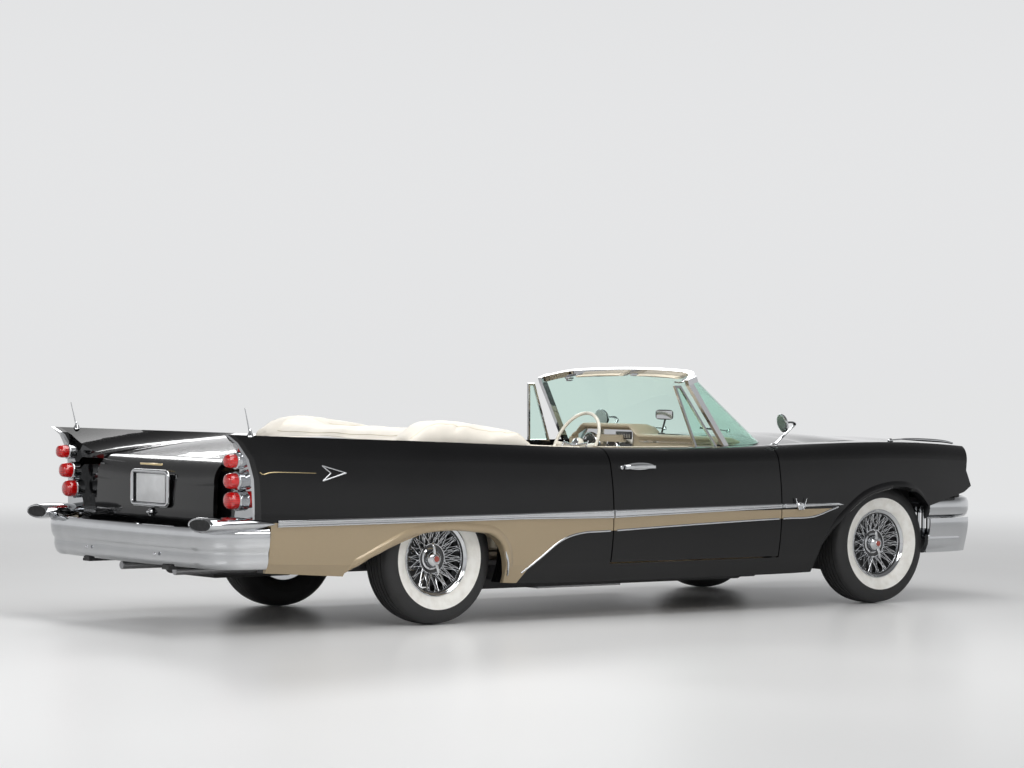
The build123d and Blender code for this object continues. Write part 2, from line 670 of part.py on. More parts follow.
# Steering column and wheel sizes. The column rises to the driver.
wheel_x = 385.0
wheel_at = 1320.0
wheel_height = 930.0
column_lean = 25.0
column_radius = 24.0
column_head = 45.0
column_length = 655.0
column_clearance = 6.0
column_pin_radius = 10.0
pin_clearance = 0.06
wheel_rim_radius = 200.0
wheel_rim_thick = 11.0
wheel_spoke_width = 34.0
wheel_spoke_thick = 9.0
wheel_hub_radius = 38.0
wheel_hub_height = 60.0
column_plane = Plane((wheel_x, at(wheel_at), wheel_height), x_dir=(1, 0, 0), z_dir=(0, 0, 1)).rotated(
    (column_lean - 90, 0, 0))

# Pillars that stand on the cowl's arms and carry the header
pillar_foot_left = 750.0
pillar_foot_right = 776.0
pillar_foot_front_at = 1089.0
pillar_head_left = 684.0
pillar_head_right = 716.0
pillar_head_run = 176.0
pillar_depth = 36.0


def plan_face(plane, left, right, front, rear):
    """A rectangle in a plane, between these sides."""
    with BuildSketch(plane) as face:
        with Locations(((left + right) / 2, (front + rear) / 2)):
            Rectangle(right - left, rear - front)
    return face.sketch


pillar_foot = plan_face(foot_plane, pillar_foot_left, pillar_foot_right, at(pillar_foot_front_at),
                        at(pillar_foot_front_at + pillar_depth))
pillar_head = plan_face(header_plane, pillar_head_left, pillar_head_right, pillar_head_run,
                        pillar_head_run + pillar_depth)
pillar_cap = plan_face(header_plane.offset(seat_gap), pillar_head_left, pillar_head_right,
                       pillar_head_run - header_section, pillar_head_run + pillar_depth)
with BuildPart() as windscreen_frame:
    loft([pillar_foot, pillar_head])
    extrude(plan_face(header_plane, pillar_head_left, pillar_head_right, pillar_head_run,
                      pillar_head_run + pillar_depth), amount=seat_gap)
    extrude(pillar_cap, amount=header_section)
    mirror(about=Plane.YZ)
    extrude(header, amount=header_section)
    add(cowl_core.part, mode=Mode.SUBTRACT)
pieces["windscreen_frame"] = windscreen_frame

# Vent windows, which stand on the doors and lean inwards
vent_foot_x = 800.0
vent_foot_at = 1205.0
vent_foot_height = 930.0
vent_lean = 16.0
vent_bar = 13.0
vent_depth = 14.0
# columns: run back and height up the leaning plane
vent_points = [(0.0, 0.0), (165.0, 0.0), (245.0, 372.0), (196.0, 372.0)]
vent_plane = Plane((vent_foot_x, at(vent_foot_at), vent_foot_height), x_dir=(0, 1, 0), z_dir=(1, 0, 0)).rotated(
    (0, -vent_lean, 0))
for vent_name in ("vent_frame", "vent_glass"):
    with BuildPart() as vent:
        with BuildSketch(vent_plane):
            with BuildLine():
                Polyline(*vent_points, close=True)
            make_face()
            if vent_name == "vent_frame":
                offset(amount=-vent_bar, mode=Mode.SUBTRACT)
            else:
                offset(amount=-vent_bar - seat_gap, mode=Mode.REPLACE)
        extrude(amount=(vent_depth if vent_name == "vent_frame" else glass_thick) / 2, both=True)
        add(side_body, mode=Mode.SUBTRACT)
    with BuildPart() as vent_mirrored:
        mirror(vent.part, about=Plane.YZ)
    pieces[vent_name + "_left"] = vent
    pieces[vent_name + "_right"] = vent_mirrored

# Dashboard, with a hood over the driver's dials
dash_half = cowl_arm_x - seat_gap
dash_bottom = 735.0
dash_top = 962.0
dash_rear_at = 1090.0
dash_round = 14.0
dash_hood_half = 190.0
dash_hood_rise = 22.0
dash_hood_at = 1120.0
with BuildPart() as dashboard:
    with BuildSketch(Plane.XY.offset(dash_bottom)):
        with BuildLine():
            ThreePointArc((-dash_half, at(cowl_rear_at - overrun)), (0, at(cowl_opening_at + seat_gap)),
                          (dash_half, at(cowl_rear_at - overrun)))
            Line((dash_half, at(cowl_rear_at - overrun)), (dash_half, at(cowl_rear_at)))
            ThreePointArc((dash_half, at(cowl_rear_at)), (0, at(dash_rear_at)), (-dash_half, at(cowl_rear_at)))
            Line((-dash_half, at(cowl_rear_at)), (-dash_half, at(cowl_rear_at - overrun)))
        make_face()
    extrude(amount=dash_top - dash_bottom)
    block(wheel_x - dash_hood_half, wheel_x + dash_hood_half, cowl_rear_at - overrun, dash_hood_at,
          dash_top - dash_hood_rise, dash_top + dash_hood_rise)
    fillet(dashboard.edges().group_by(Axis.Z)[-1], dash_round)
    with Locations(column_plane.location):
        Cylinder(column_radius + column_clearance, 2 * column_length, mode=Mode.SUBTRACT)
pieces["dashboard"] = dashboard

# Steering column, with the pin that the wheel turns on
with BuildPart() as steering_column:
    with Locations(column_plane.offset(-column_head).location):
        Cylinder(column_radius, column_length, align=(Align.CENTER, Align.CENTER, Align.MAX))
    with Locations(column_plane.offset(-column_head).location):
        Cylinder(column_pin_radius, column_head, align=(Align.CENTER, Align.CENTER, Align.MIN))
pieces["steering_column"] = steering_column
with BuildPart() as steering_wheel:
    with Locations(column_plane.location):
        Torus(wheel_rim_radius, wheel_rim_thick)
        Box(2 * wheel_rim_radius, wheel_spoke_width, wheel_spoke_thick)
        Cylinder(wheel_hub_radius, wheel_hub_height)
    with Locations(column_plane.offset(-column_head).location):
        Cylinder(column_pin_radius + pin_clearance, column_head + 2 * seat_gap,
                 align=(Align.CENTER, Align.CENTER, Align.MIN), mode=Mode.SUBTRACT)
pieces["steering_wheel"] = steering_wheel

# Front bumper bars meet the frame's horns, so the frame is cut to them
rail_inner_x = 385.0
rail_outer_x = 455.0
rail_shares = [
    (-0.2740, 0.3580), (0.1720, 0.3580), (0.2340, 0.2418), (0.8125, 0.2418), (0.8600, 0.3740),
    (0.8890, 0.3740), (0.9032, 0.5680), (1.1000, 0.5680), (1.1480, 0.4208), (1.3720, 0.4208),
    (1.3720, 0.3631), (1.4500, 0.3631), (1.4500, 0.3368), (1.1400, 0.3368), (1.0940, 0.4840),
    (0.9250, 0.4840), (0.9150, 0.2900), (0.8700, 0.2900), (0.8200, 0.1579), (0.2340, 0.1579),
    (0.1720, 0.2740), (-0.2740, 0.2740),
]
# columns: front, rear, bottom and top of each member across the frame
cross_members = [(-620.0, -560.0, 285.0, 340.0), (1280.0, 1340.0, 190.0, 229.6), (2440.0, 2500.0, 190.0, 229.6),
                 (4270.0, 4330.0, 330.0, 399.6)]
outrigger_places = [960.0, 1500.0, 2040.0]
outrigger_width = 50.0
outrigger_bottom = 206.0
outrigger_reach = 810.0
floor_bottom = 230.0
with BuildPart() as frame:
    side_slab(profile(rail_shares), rail_inner_x, rail_outer_x)
    for place in outrigger_places:
        block(rail_outer_x - seat_gap, outrigger_reach, place, place + outrigger_width, outrigger_bottom,
              floor_bottom - seat_gap)
    mirror(about=Plane.YZ)
    for front, rear, bottom, top in cross_members:
        block(-rail_inner_x, rail_inner_x, front, rear, bottom, top)
    add(front_bumper.part, mode=Mode.SUBTRACT)
    add(rear_bumper.part, mode=Mode.SUBTRACT)
pieces["frame"] = frame

# Floor, firewall, tunnel, rear seat pan and boot floor
floor_half = 800.0
rear_floor_half = 575.0
boot_floor_half = 842.0
boot_floor_front_at = 3720.0
boot_floor_bottom = 400.0
tunnel_half = 130.0
tunnel_top = 400.0
tunnel_rear_at = 2860.0
wheelhouse_front_at = 2806.0
wheelhouse_top = 900.0
wheelhouse_rear_at = 3700.0
firewall_front_at = 655.0
front_floor_shares = [
    (0.2109, 0.9650), (0.2109, 0.5263), (0.2750, 0.2632), (0.7438, 0.2632), (0.7563, 0.4000),
    (0.8781, 0.4000), (0.8938, 0.5895), (0.9000, 0.5895), (0.9000, 0.5684), (0.8860, 0.3789),
    (0.7625, 0.3789), (0.7500, 0.2421), (0.2688, 0.2421), (0.2047, 0.5158), (0.2047, 0.9650),
]
rear_floor_shares = [
    (0.8965, 0.5895), (1.1250, 0.5895), (1.1563, 0.4421), (1.3720, 0.4421), (1.3720, 0.4211),
    (1.1500, 0.4211), (1.1188, 0.5684), (0.8965, 0.5684),
]
with BuildPart() as floor:
    side_slab(profile(front_floor_shares), floor_half)
    side_slab(profile(rear_floor_shares), rear_floor_half)
    block(-boot_floor_half, boot_floor_half, boot_floor_front_at, tail_panel_at - seat_gap, boot_floor_bottom,
          boot_floor_bottom + sheet)
    block(-tunnel_half - sheet, tunnel_half + sheet, firewall_front_at, tunnel_rear_at, floor_bottom,
          tunnel_top + sheet)
    block(-tunnel_half, tunnel_half, 0, tunnel_rear_at + overrun, 0, tunnel_top, Mode.SUBTRACT)
    for side in (-1, 1):
        low, high = sorted((side * (rear_floor_half + sheet), side * half_width))
        block(low, high, wheelhouse_front_at, boot_floor_front_at - overrun, 0, belt_height, Mode.SUBTRACT)
        middle = side * (rear_floor_half + sheet / 2)
        block(middle - sheet / 2, middle + sheet / 2, tunnel_rear_at, wheelhouse_rear_at,
              rear_floor_shares[-1][1] * belt_height, wheelhouse_top)
pieces["floor"] = floor

# Inner wings beside the engine
inner_wing_front_at = -600.0
inner_wing_bottom = 300.0
inner_wing_top = 895.0
arm_notch_bottom = 495.0
arm_notch_top = 540.0
arm_half = 30.0
with BuildPart() as inner_wings:
    block(rail_outer_x + seat_gap, rail_outer_x + seat_gap + sheet, inner_wing_front_at,
          firewall_front_at - seat_gap, inner_wing_bottom, inner_wing_top)
    block(rail_outer_x, half_width, -arm_half - panel_gap, arm_half + panel_gap, arm_notch_bottom,
          arm_notch_top, Mode.SUBTRACT)
    mirror(about=Plane.YZ)
pieces["inner_wings"] = inner_wings

# Engine with its gearbox, as plain blocks on two mounts
engine_half = 270.0
engine_front_at = -300.0
engine_rear_at = 420.0
engine_bottom = 300.0
engine_top = 860.0
gearbox_half = 110.0
gearbox_rear_at = 1200.0
gearbox_bottom = 262.0
gearbox_top = 372.0
mount_front_at = 110.0
mount_depth = 60.0
mount_thick = 38.0
with BuildPart() as engine:
    block(-engine_half, engine_half, engine_front_at, engine_rear_at, engine_bottom, engine_top)
    block(-gearbox_half, gearbox_half, engine_rear_at, gearbox_rear_at, gearbox_bottom, gearbox_top)
    block(seat_gap - rail_inner_x, rail_inner_x - seat_gap, mount_front_at, mount_front_at + mount_depth,
          engine_bottom, engine_bottom + mount_thick)
pieces["engine"] = engine

# Radiator on the front cross member
radiator_half = 300.0
radiator_top = 800.0
lock_half = 25.0
with BuildPart() as bonnet_space:
    crowned_loft(bonnet_shares, 0, 2 * skin)
with BuildPart() as radiator:
    block(-lock_half, lock_half, cross_members[0][0], cross_members[0][1], radiator_top, belt_height)
    add(bonnet_space.part.moved(Location((0, 0, skin - seat_gap))), mode=Mode.SUBTRACT)
    block(-radiator_half, radiator_half, cross_members[0][0], cross_members[0][1],
          cross_members[0][3] + seat_gap, radiator_top)
pieces["radiator"] = radiator

# Front suspension: the cross member with its lower arms, and the towers with their upper arms
kingpin_x = 645.0
kingpin_radius = 9.0
kingpin_reach = 26.0
lower_member_half = 90.0
lower_member_x = 500.0
lower_member_bottom = 182.0
rail_front_bottom = 0.2740 * belt_height
arm_end_x = kingpin_x + 16.0
lower_arm_bottom = 192.0
lower_arm_top = 214.0
upper_arm_bottom = 506.0
upper_arm_top = 526.0
tower_left = 400.0
tower_half = 50.0
rail_front_top = 0.3580 * belt_height
with BuildPart() as front_suspension:
    block(lower_member_x - overrun, arm_end_x, -arm_half, arm_half, lower_arm_bottom, lower_arm_top)
    block(tower_left, rail_outer_x, -tower_half, tower_half, rail_front_top + seat_gap, upper_arm_top)
    block(rail_outer_x - overrun / 2, arm_end_x, -arm_half, arm_half, upper_arm_bottom, upper_arm_top)
    for low, high in ((lower_arm_top, lower_arm_top + kingpin_reach),
                      (upper_arm_bottom - kingpin_reach, upper_arm_bottom)):
        with Locations((kingpin_x, at(0), (low + high) / 2)):
            Cylinder(kingpin_radius, high - low)
    mirror(about=Plane.YZ)
    block(-lower_member_x, lower_member_x, -lower_member_half, lower_member_half, lower_member_bottom,
          rail_front_bottom - seat_gap)
pieces["front_suspension"] = front_suspension

# Knuckles, which turn on the kingpins and carry the front wheels
knuckle_half = 34.0
knuckle_left_x = 625.0
knuckle_right_x = 665.0
knuckle_lift = 5.0
spindle_radius = 20.0
spindle_reach = 50.0
with BuildPart() as knuckle_left:
    block(knuckle_left_x, knuckle_right_x, -knuckle_half, knuckle_half, lower_arm_top + knuckle_lift,
          upper_arm_bottom - knuckle_lift)
    across(knuckle_right_x - seat_gap, 0, axle_height, spindle_radius,
           front_track / 2 + spindle_reach - knuckle_right_x)
    for middle in (lower_arm_top, upper_arm_bottom):
        with Locations((kingpin_x, at(0), middle)):
            Cylinder(kingpin_radius + pin_clearance, 2 * kingpin_reach + knuckle_lift,
                     mode=Mode.SUBTRACT)
with BuildPart() as knuckle_right:
    mirror(knuckle_left.part, about=Plane.YZ)
pieces["knuckle_left"] = knuckle_left
pieces["knuckle_right"] = knuckle_right

# Rear axle with its differential, propeller shaft and leaf springs
axle_tube_radius = 40.0
axle_tube_reach = 654.0
diff_radius = 115.0
diff_half = 105.0
shaft_radius = 30.0
spring_left = 505.0
spring_right = 565.0
spring_front_at = 2560.0
spring_rear_at = 3840.0
spring_thick = 25.0
spring_seat_half = 50.0
hanger_depth = 60.0
hanger_drop = 110.0
hanger_rise = 75.0
spring_top = axle_height - axle_tube_radius
with BuildPart() as rear_axle:
    across(-axle_tube_reach, wheelbase, axle_height, axle_tube_radius, 2 * axle_tube_reach)
    across(-rear_track / 2 - spindle_reach + seat_gap, wheelbase, axle_height, spindle_radius,
           rear_track + 2 * spindle_reach - 2 * seat_gap)
    along(0, wheelbase - diff_half, wheelbase + diff_half, axle_height, diff_radius)
    along(0, gearbox_rear_at + seat_gap, wheelbase, gearbox_top - 2 * shaft_radius, shaft_radius)
    for side in (-1, 1):
        low, high = sorted((side * spring_left, side * spring_right))
        block(low, high, spring_front_at, spring_rear_at, spring_top - spring_thick, spring_top)
        block(low, high, wheelbase - spring_seat_half, wheelbase + spring_seat_half,
              spring_top - spring_thick, axle_height)
        low, high = sorted((side * (rail_outer_x + seat_gap), side * spring_right))
        block(low, high, spring_front_at - hanger_depth / 2, spring_front_at + hanger_depth / 2,
              spring_top - hanger_drop, spring_top)
        block(low, high, spring_rear_at - hanger_depth / 2, spring_rear_at + hanger_depth / 2,
              spring_top - spring_thick, spring_top + hanger_rise)
pieces["rear_axle"] = rear_axle

# Exhaust: two pipes with silencers, hung from the floor and the boot floor
pipe_x = 280.0
pipe_height = 165.0
pipe_radius = 22.0
pipe_bend = 90.0
# columns: place and height
pipe_points = [(480.0, pipe_height), (2780.0, pipe_height), (3000.0, 458.0), (3400.0, 458.0), (3660.0, 300.0),
               (4500.0, 300.0)]
silencer_half = 80.0
silencer_front_at = 1560.0
silencer_rear_at = 2160.0
silencer_bottom = 132.0
silencer_top = 186.0
strap_half = 8.0
front_strap_at = 1800.0
rear_strap_at = 3950.0
strap_width = 30.0
with BuildPart() as exhaust:
    with BuildLine(Plane.YZ.offset(pipe_x)) as pipe_line:
        Polyline(*[(at(place), height) for place, height in pipe_points])
        fillet(pipe_line.vertices().sort_by(Axis.Y)[1:-1], pipe_bend)
    with BuildSketch(Plane.XZ.offset(-at(pipe_points[0][0]))):
        with Locations((pipe_x, pipe_height)):
            Circle(pipe_radius)
    sweep(path=pipe_line.line)
    block(pipe_x - silencer_half, pipe_x + silencer_half, silencer_front_at, silencer_rear_at,
          silencer_bottom, silencer_top)
    block(pipe_x - strap_half, pipe_x + strap_half, front_strap_at, front_strap_at + strap_width,
          silencer_top, floor_bottom - seat_gap)
    block(pipe_x - strap_half, pipe_x + strap_half, rear_strap_at, rear_strap_at + strap_width,
          pipe_points[-1][1], boot_floor_bottom - seat_gap)
    mirror(about=Plane.YZ)
pieces["exhaust"] = exhaust

# Fuel tank under the boot floor
tank_half = 250.0
tank_front_at = 3740.0
tank_rear_at = 4240.0
tank_bottom = 250.0
tank_round = 24.0
with BuildPart() as fuel_tank:
    block(-tank_half, tank_half, tank_front_at, tank_rear_at, tank_bottom, boot_floor_bottom - seat_gap)
    fillet(fuel_tank.edges().group_by(Axis.Z)[0], tank_round)
pieces["fuel_tank"] = fuel_tank

# Seats, as side profiles
front_seat_half = 715.0
rear_seat_half = 570.0
front_seat_shares = [
    (0.4688, 0.2635), (0.4688, 0.5260), (0.4875, 0.6050), (0.6188, 0.5740), (0.6438, 1.0100),
    (0.6560, 1.0330), (0.6810, 1.0170), (0.6875, 0.6320), (0.6690, 0.2635),
]
rear_seat_shares = [
    (0.7594, 0.4004), (0.7594, 0.5890), (0.7720, 0.6320), (0.8560, 0.6000), (0.8750, 0.9580),
    (0.8850, 0.9790), (0.8980, 0.9580), (0.9000, 0.5900), (0.8930, 0.5900), (0.8772, 0.4004),
]
seat_round = 22.0
tunnel_clearance = 3.0
with BuildPart() as tunnel_space:
    block(-tunnel_half - sheet - tunnel_clearance, tunnel_half + sheet + tunnel_clearance, 0,
          tunnel_rear_at, 0, tunnel_top + sheet + seat_gap)
with BuildPart() as front_seat:
    side_slab(profile(front_seat_shares), front_seat_half)
    add(tunnel_space.part, mode=Mode.SUBTRACT)
pieces["front_seat"] = front_seat
with BuildPart() as rear_seat:
    side_slab(profile(rear_seat_shares), rear_seat_half)
    add(tunnel_space.part, mode=Mode.SUBTRACT)
pieces["rear_seat"] = rear_seat

# Padded sides beside the rear seat
rest_left = 600.0
rest_right = 806.0
rest_front_at = 2425.0
rest_rear_at = 2806.0
rest_bottom = 380.3
rest_top = 912.0
with BuildPart() as rear_side_trims:
    block(rest_left, rest_right, rest_front_at, rest_rear_at, rest_bottom, rest_top)
    mirror(about=Plane.YZ)
pieces["rear_side_trims"] = rear_side_trims

# Cover over the folded top: a bar across the car, with an arm forward on each side
cover_arm_left = 606.0
cover_arm_right = 800.0
cover_bar_shares = [
    (0.9080, 0.9790), (0.9080, 1.0740), (0.9310, 1.1000), (1.0000, 1.1000), (1.0400, 1.0800),
    (1.0540, 1.0500), (1.0540, 0.9790),
]
cover_arm_shares = [
    (0.7810, 0.9790), (0.7810, 1.0100), (0.8120, 1.0950), (0.9840, 1.1580), (1.0310, 1.1160),
    (1.0540, 1.0600), (1.0540, 0.9790),
]
with BuildPart() as top_cover:
    side_slab(profile(cover_bar_shares), cover_arm_left + overrun)
    for side in (-1, 1):
        side_slab(profile(cover_arm_shares), side * cover_arm_left, side * cover_arm_right)
    for shape in (side_body, mirror(side_body, about=Plane.YZ, mode=Mode.PRIVATE)):
        add(shape, mode=Mode.SUBTRACT)
pieces["top_cover"] = top_cover

# Small fittings on the wings and fins: mirrors, ornaments and aerials
mirror_x = 851.0
mirror_at = 735.0
mirror_height = 1076.0
mirror_radius = 55.0
mirror_thick = 26.0
mirror_stem_radius = 6.0
ornament_x = 812.0
ornament_half = 8.0
ornament_front_at = -560.0
ornament_rear_at = -180.0
ornament_top = 972.0
aerial_x = 910.0
aerial_at = 4430.0
aerial_radius = 3.0
aerial_top = 1172.0
with BuildPart() as wing_fittings:
    along(mirror_x, mirror_at, mirror_at + mirror_thick, mirror_height, mirror_radius)
    for x, place, radius, top in ((mirror_x, mirror_at + mirror_thick / 2, mirror_stem_radius, mirror_height),
                                  (aerial_x, aerial_at, aerial_radius, aerial_top)):
        with Locations((x, at(place), (top + belt_height - overrun) / 2)):
            Cylinder(radius, top - belt_height + overrun)
    block(ornament_x - ornament_half, ornament_x + ornament_half, ornament_front_at, ornament_rear_at,
          belt_height - overrun, ornament_top)
    add(side_body, mode=Mode.SUBTRACT)
    for leftover in wing_fittings.solids():
        if leftover.bounding_box().max.Z < belt_height:
            add(leftover, mode=Mode.SUBTRACT)
    mirror(about=Plane.YZ)
pieces["wing_fittings"] = wing_fittings

# Wheels: rim, drum, hub and spokes, built about the Z axis with the outer face up
rim_seat_radius = rim_radius - rim_drop
drum_radius = 140.0
drum_inner = -95.0
drum_outer = -35.0
hub_radius = 56.0
hub_outer = 30.0
hub_neck_radius = 34.0
hub_neck = 74.0
hub_cap_radius = 20.0
hub_cap = 88.0
spinner_length = 150.0
spinner_width = 22.0
spinner_thick = 12.0
spoke_count = 20
spoke_width = 7.0
spoke_thick = 9.0
bearing_clearance = 0.06
with BuildPart() as wheel:
    with BuildSketch(Plane.XZ) as rim_section:
        with BuildLine():
            Polyline(
                (rim_seat_radius - rim_wall, -rim_width / 2), (rim_radius, -rim_width / 2),
                (rim_radius, rim_wall - rim_width / 2), (rim_seat_radius, rim_wall - rim_width / 2),
                (rim_seat_radius, rim_width / 2 - rim_wall), (rim_radius, rim_width / 2 - rim_wall),
                (rim_radius, rim_width / 2), (rim_seat_radius - rim_wall, rim_width / 2), close=True)
        make_face()
        with BuildLine():
            bore = spindle_radius + bearing_clearance
            Polyline(
                (bore, drum_inner), (drum_radius, drum_inner), (drum_radius, drum_outer),
                (hub_radius, drum_outer), (hub_radius, hub_outer), (hub_neck_radius, hub_neck),
                (hub_cap_radius, hub_cap), (0, hub_cap), (0, spindle_reach), (bore, spindle_reach), close=True)
        make_face()
    revolve(axis=Axis.Z)
    with BuildSketch(Plane.XY.offset(hub_outer / 3)):
        spoke_length = rim_seat_radius - hub_radius + rim_wall / 2
        with PolarLocations((rim_seat_radius - rim_wall / 2 + hub_radius) / 2 - rim_wall / 4, spoke_count):
            Rectangle(spoke_length, spoke_width)
    extrude(amount=spoke_thick)
    with Locations((0, 0, hub_neck)):
        Box(spinner_length, spinner_width, spinner_thick)

with BuildPart() as tyre:
    with BuildSketch(Plane.XZ):
        with BuildLine():
            shoulder = (tyre_radius - tread_crown, tread_width / 2)
            bulge = (tyre_bulge_radius, tyre_width / 2)
            bead = (rim_radius + seat_gap, rim_width / 2)
            seat = (rim_radius + seat_gap, rim_width / 2 - rim_wall - seat_gap)
            base = (rim_seat_radius + seat_gap, rim_width / 2 - rim_wall - seat_gap)
            ThreePointArc((shoulder[0], -shoulder[1]), (tyre_radius, 0), shoulder)
            ThreePointArc(shoulder, bulge, bead)
            Polyline(bead, seat, base, (base[0], -base[1]), (seat[0], -seat[1]), (bead[0], -bead[1]))
            ThreePointArc((bead[0], -bead[1]), (bulge[0], -bulge[1]), (shoulder[0], -shoulder[1]))
        make_face()
    revolve(axis=Axis.Z)

# columns: corner, x of the wheel's middle, place
corners = [("front_left", front_track / 2, 0.0), ("front_right", -front_track / 2, 0.0),
           ("rear_left", rear_track / 2, wheelbase), ("rear_right", -rear_track / 2, wheelbase)]
for corner, x, place in corners:
    stand = Location((x, at(place), axle_height), (0, 90 if x > 0 else -90, 0))
    for kind, shape in (("wheel", wheel), ("tyre", tyre)):
        with BuildPart() as placed:
            add(shape.part.moved(stand))
        pieces[f"{kind}_{corner}"] = placed

for name, piece in pieces.items():
    piece.part.label = name
    export_step(piece.part, f"parts/{name}.step")
    print(name, len(piece.part.solids()), round(piece.part.volume / 1e6), piece.part.is_valid)
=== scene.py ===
import bpy
import math
import json
from mathutils import Vector, Matrix


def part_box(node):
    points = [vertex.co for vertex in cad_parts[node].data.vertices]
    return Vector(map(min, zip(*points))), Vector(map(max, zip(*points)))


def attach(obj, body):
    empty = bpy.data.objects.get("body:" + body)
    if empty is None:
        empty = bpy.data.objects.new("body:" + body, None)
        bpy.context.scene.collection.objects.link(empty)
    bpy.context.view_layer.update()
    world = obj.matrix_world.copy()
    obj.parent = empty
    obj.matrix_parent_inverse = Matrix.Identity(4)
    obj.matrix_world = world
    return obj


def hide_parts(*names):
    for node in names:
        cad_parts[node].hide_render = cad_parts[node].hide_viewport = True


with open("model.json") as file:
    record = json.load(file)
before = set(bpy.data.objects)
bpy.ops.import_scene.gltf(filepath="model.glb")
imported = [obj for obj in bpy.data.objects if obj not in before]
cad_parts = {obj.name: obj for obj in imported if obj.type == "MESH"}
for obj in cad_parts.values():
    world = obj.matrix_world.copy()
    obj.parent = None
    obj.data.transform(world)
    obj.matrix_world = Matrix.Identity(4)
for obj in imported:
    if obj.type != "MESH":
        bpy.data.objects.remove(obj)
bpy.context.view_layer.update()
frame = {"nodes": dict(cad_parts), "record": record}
nodes = frame["nodes"]
scene = bpy.context.scene

car = {"frontAxleY": -1.8985, "wheelHeight": 0.355, "frontTrack": 1.549, "rearTrack": 1.516, "wheelbase": 3.2}


def at(distance):
    return car["frontAxleY"] + distance          # Y of a place this far behind the front axle


# Camera
view = {"place": (-15.5576, 11.6906, 1.4517), "yaw": -36.480, "pitch": -0.481, "roll": 0.491, "lens": 117.73}


def setCamera():
    yaw, pitch, roll = (math.radians(view[k]) for k in ("yaw", "pitch", "roll"))
    ahead = Vector((math.cos(pitch) * math.cos(yaw), math.cos(pitch) * math.sin(yaw), math.sin(pitch)))
    level = ahead.cross(Vector((0, 0, 1))).normalized()
    up = level.cross(ahead)
    right = level * math.cos(roll) + up * math.sin(roll)
    top = up * math.cos(roll) - level * math.sin(roll)
    bpy.ops.object.camera_add(location=(0, 0, 0))
    camera = bpy.context.object
    camera.name = "camera"
    camera.data.lens = view["lens"]
    camera.data.sensor_width = 36
    camera.data.clip_end = 200
    camera.matrix_world = Matrix((
        (right.x, top.x, -ahead.x, view["place"][0]),
        (right.y, top.y, -ahead.y, view["place"][1]),
        (right.z, top.z, -ahead.z, view["place"][2]),
        (0, 0, 0, 1)))
    scene.camera = camera


setCamera()
scene.view_settings.view_transform = "Standard"
print("stage: camera")


def setCurve(curveNode, points):              # the first and last points of a new curve are there already
    line = curveNode.mapping.curves[0]
    line.points[0].location, line.points[1].location = points[0], points[-1]
    for point in points[1:-1]:
        line.points.new(*point)
    curveNode.mapping.update()


# Shader arithmetic
class Socket:
    def __init__(self, finish, socket):
        self.finish, self.socket = finish, socket

    def maths(self, operation, first, second=0.0):
        return self.finish.node("Math", {"operation": operation}, [first, second])

    def __add__(self, other):
        return self.maths("ADD", self, other)

    def __radd__(self, other):
        return self.maths("ADD", other, self)

    def __sub__(self, other):
        return self.maths("SUBTRACT", self, other)

    def __rsub__(self, other):
        return self.maths("SUBTRACT", other, self)

    def __mul__(self, other):
        return self.maths("MULTIPLY", self, other)

    def __rmul__(self, other):
        return self.maths("MULTIPLY", other, self)

    def __truediv__(self, other):
        return self.maths("DIVIDE", self, other)

    def __gt__(self, other):
        return self.maths("GREATER_THAN", self, other)

    def __lt__(self, other):
        return self.maths("LESS_THAN", self, other)

    def absolute(self):
        return self.maths("ABSOLUTE", self)

    def power(self, other):
        return self.maths("POWER", self, other)

    def sine(self):
        return self.maths("SINE", self)

    def clamp(self):
        return self.finish.node("Clamp", {}, [self])

    def ramp(self, low, high, start=0.0, end=1.0):
        return self.finish.node("MapRange", {}, [self, low, high, start, end])


shaderLabels = {
    "color": "Base Color", "coat": "Coat Weight", "coatRoughness": "Coat Roughness", "coatIor": "Coat IOR",
    "transmission": "Transmission Weight", "ior": "IOR", "sheen": "Sheen Weight",
    "sheenRoughness": "Sheen Roughness", "specular": "Specular IOR Level",
}


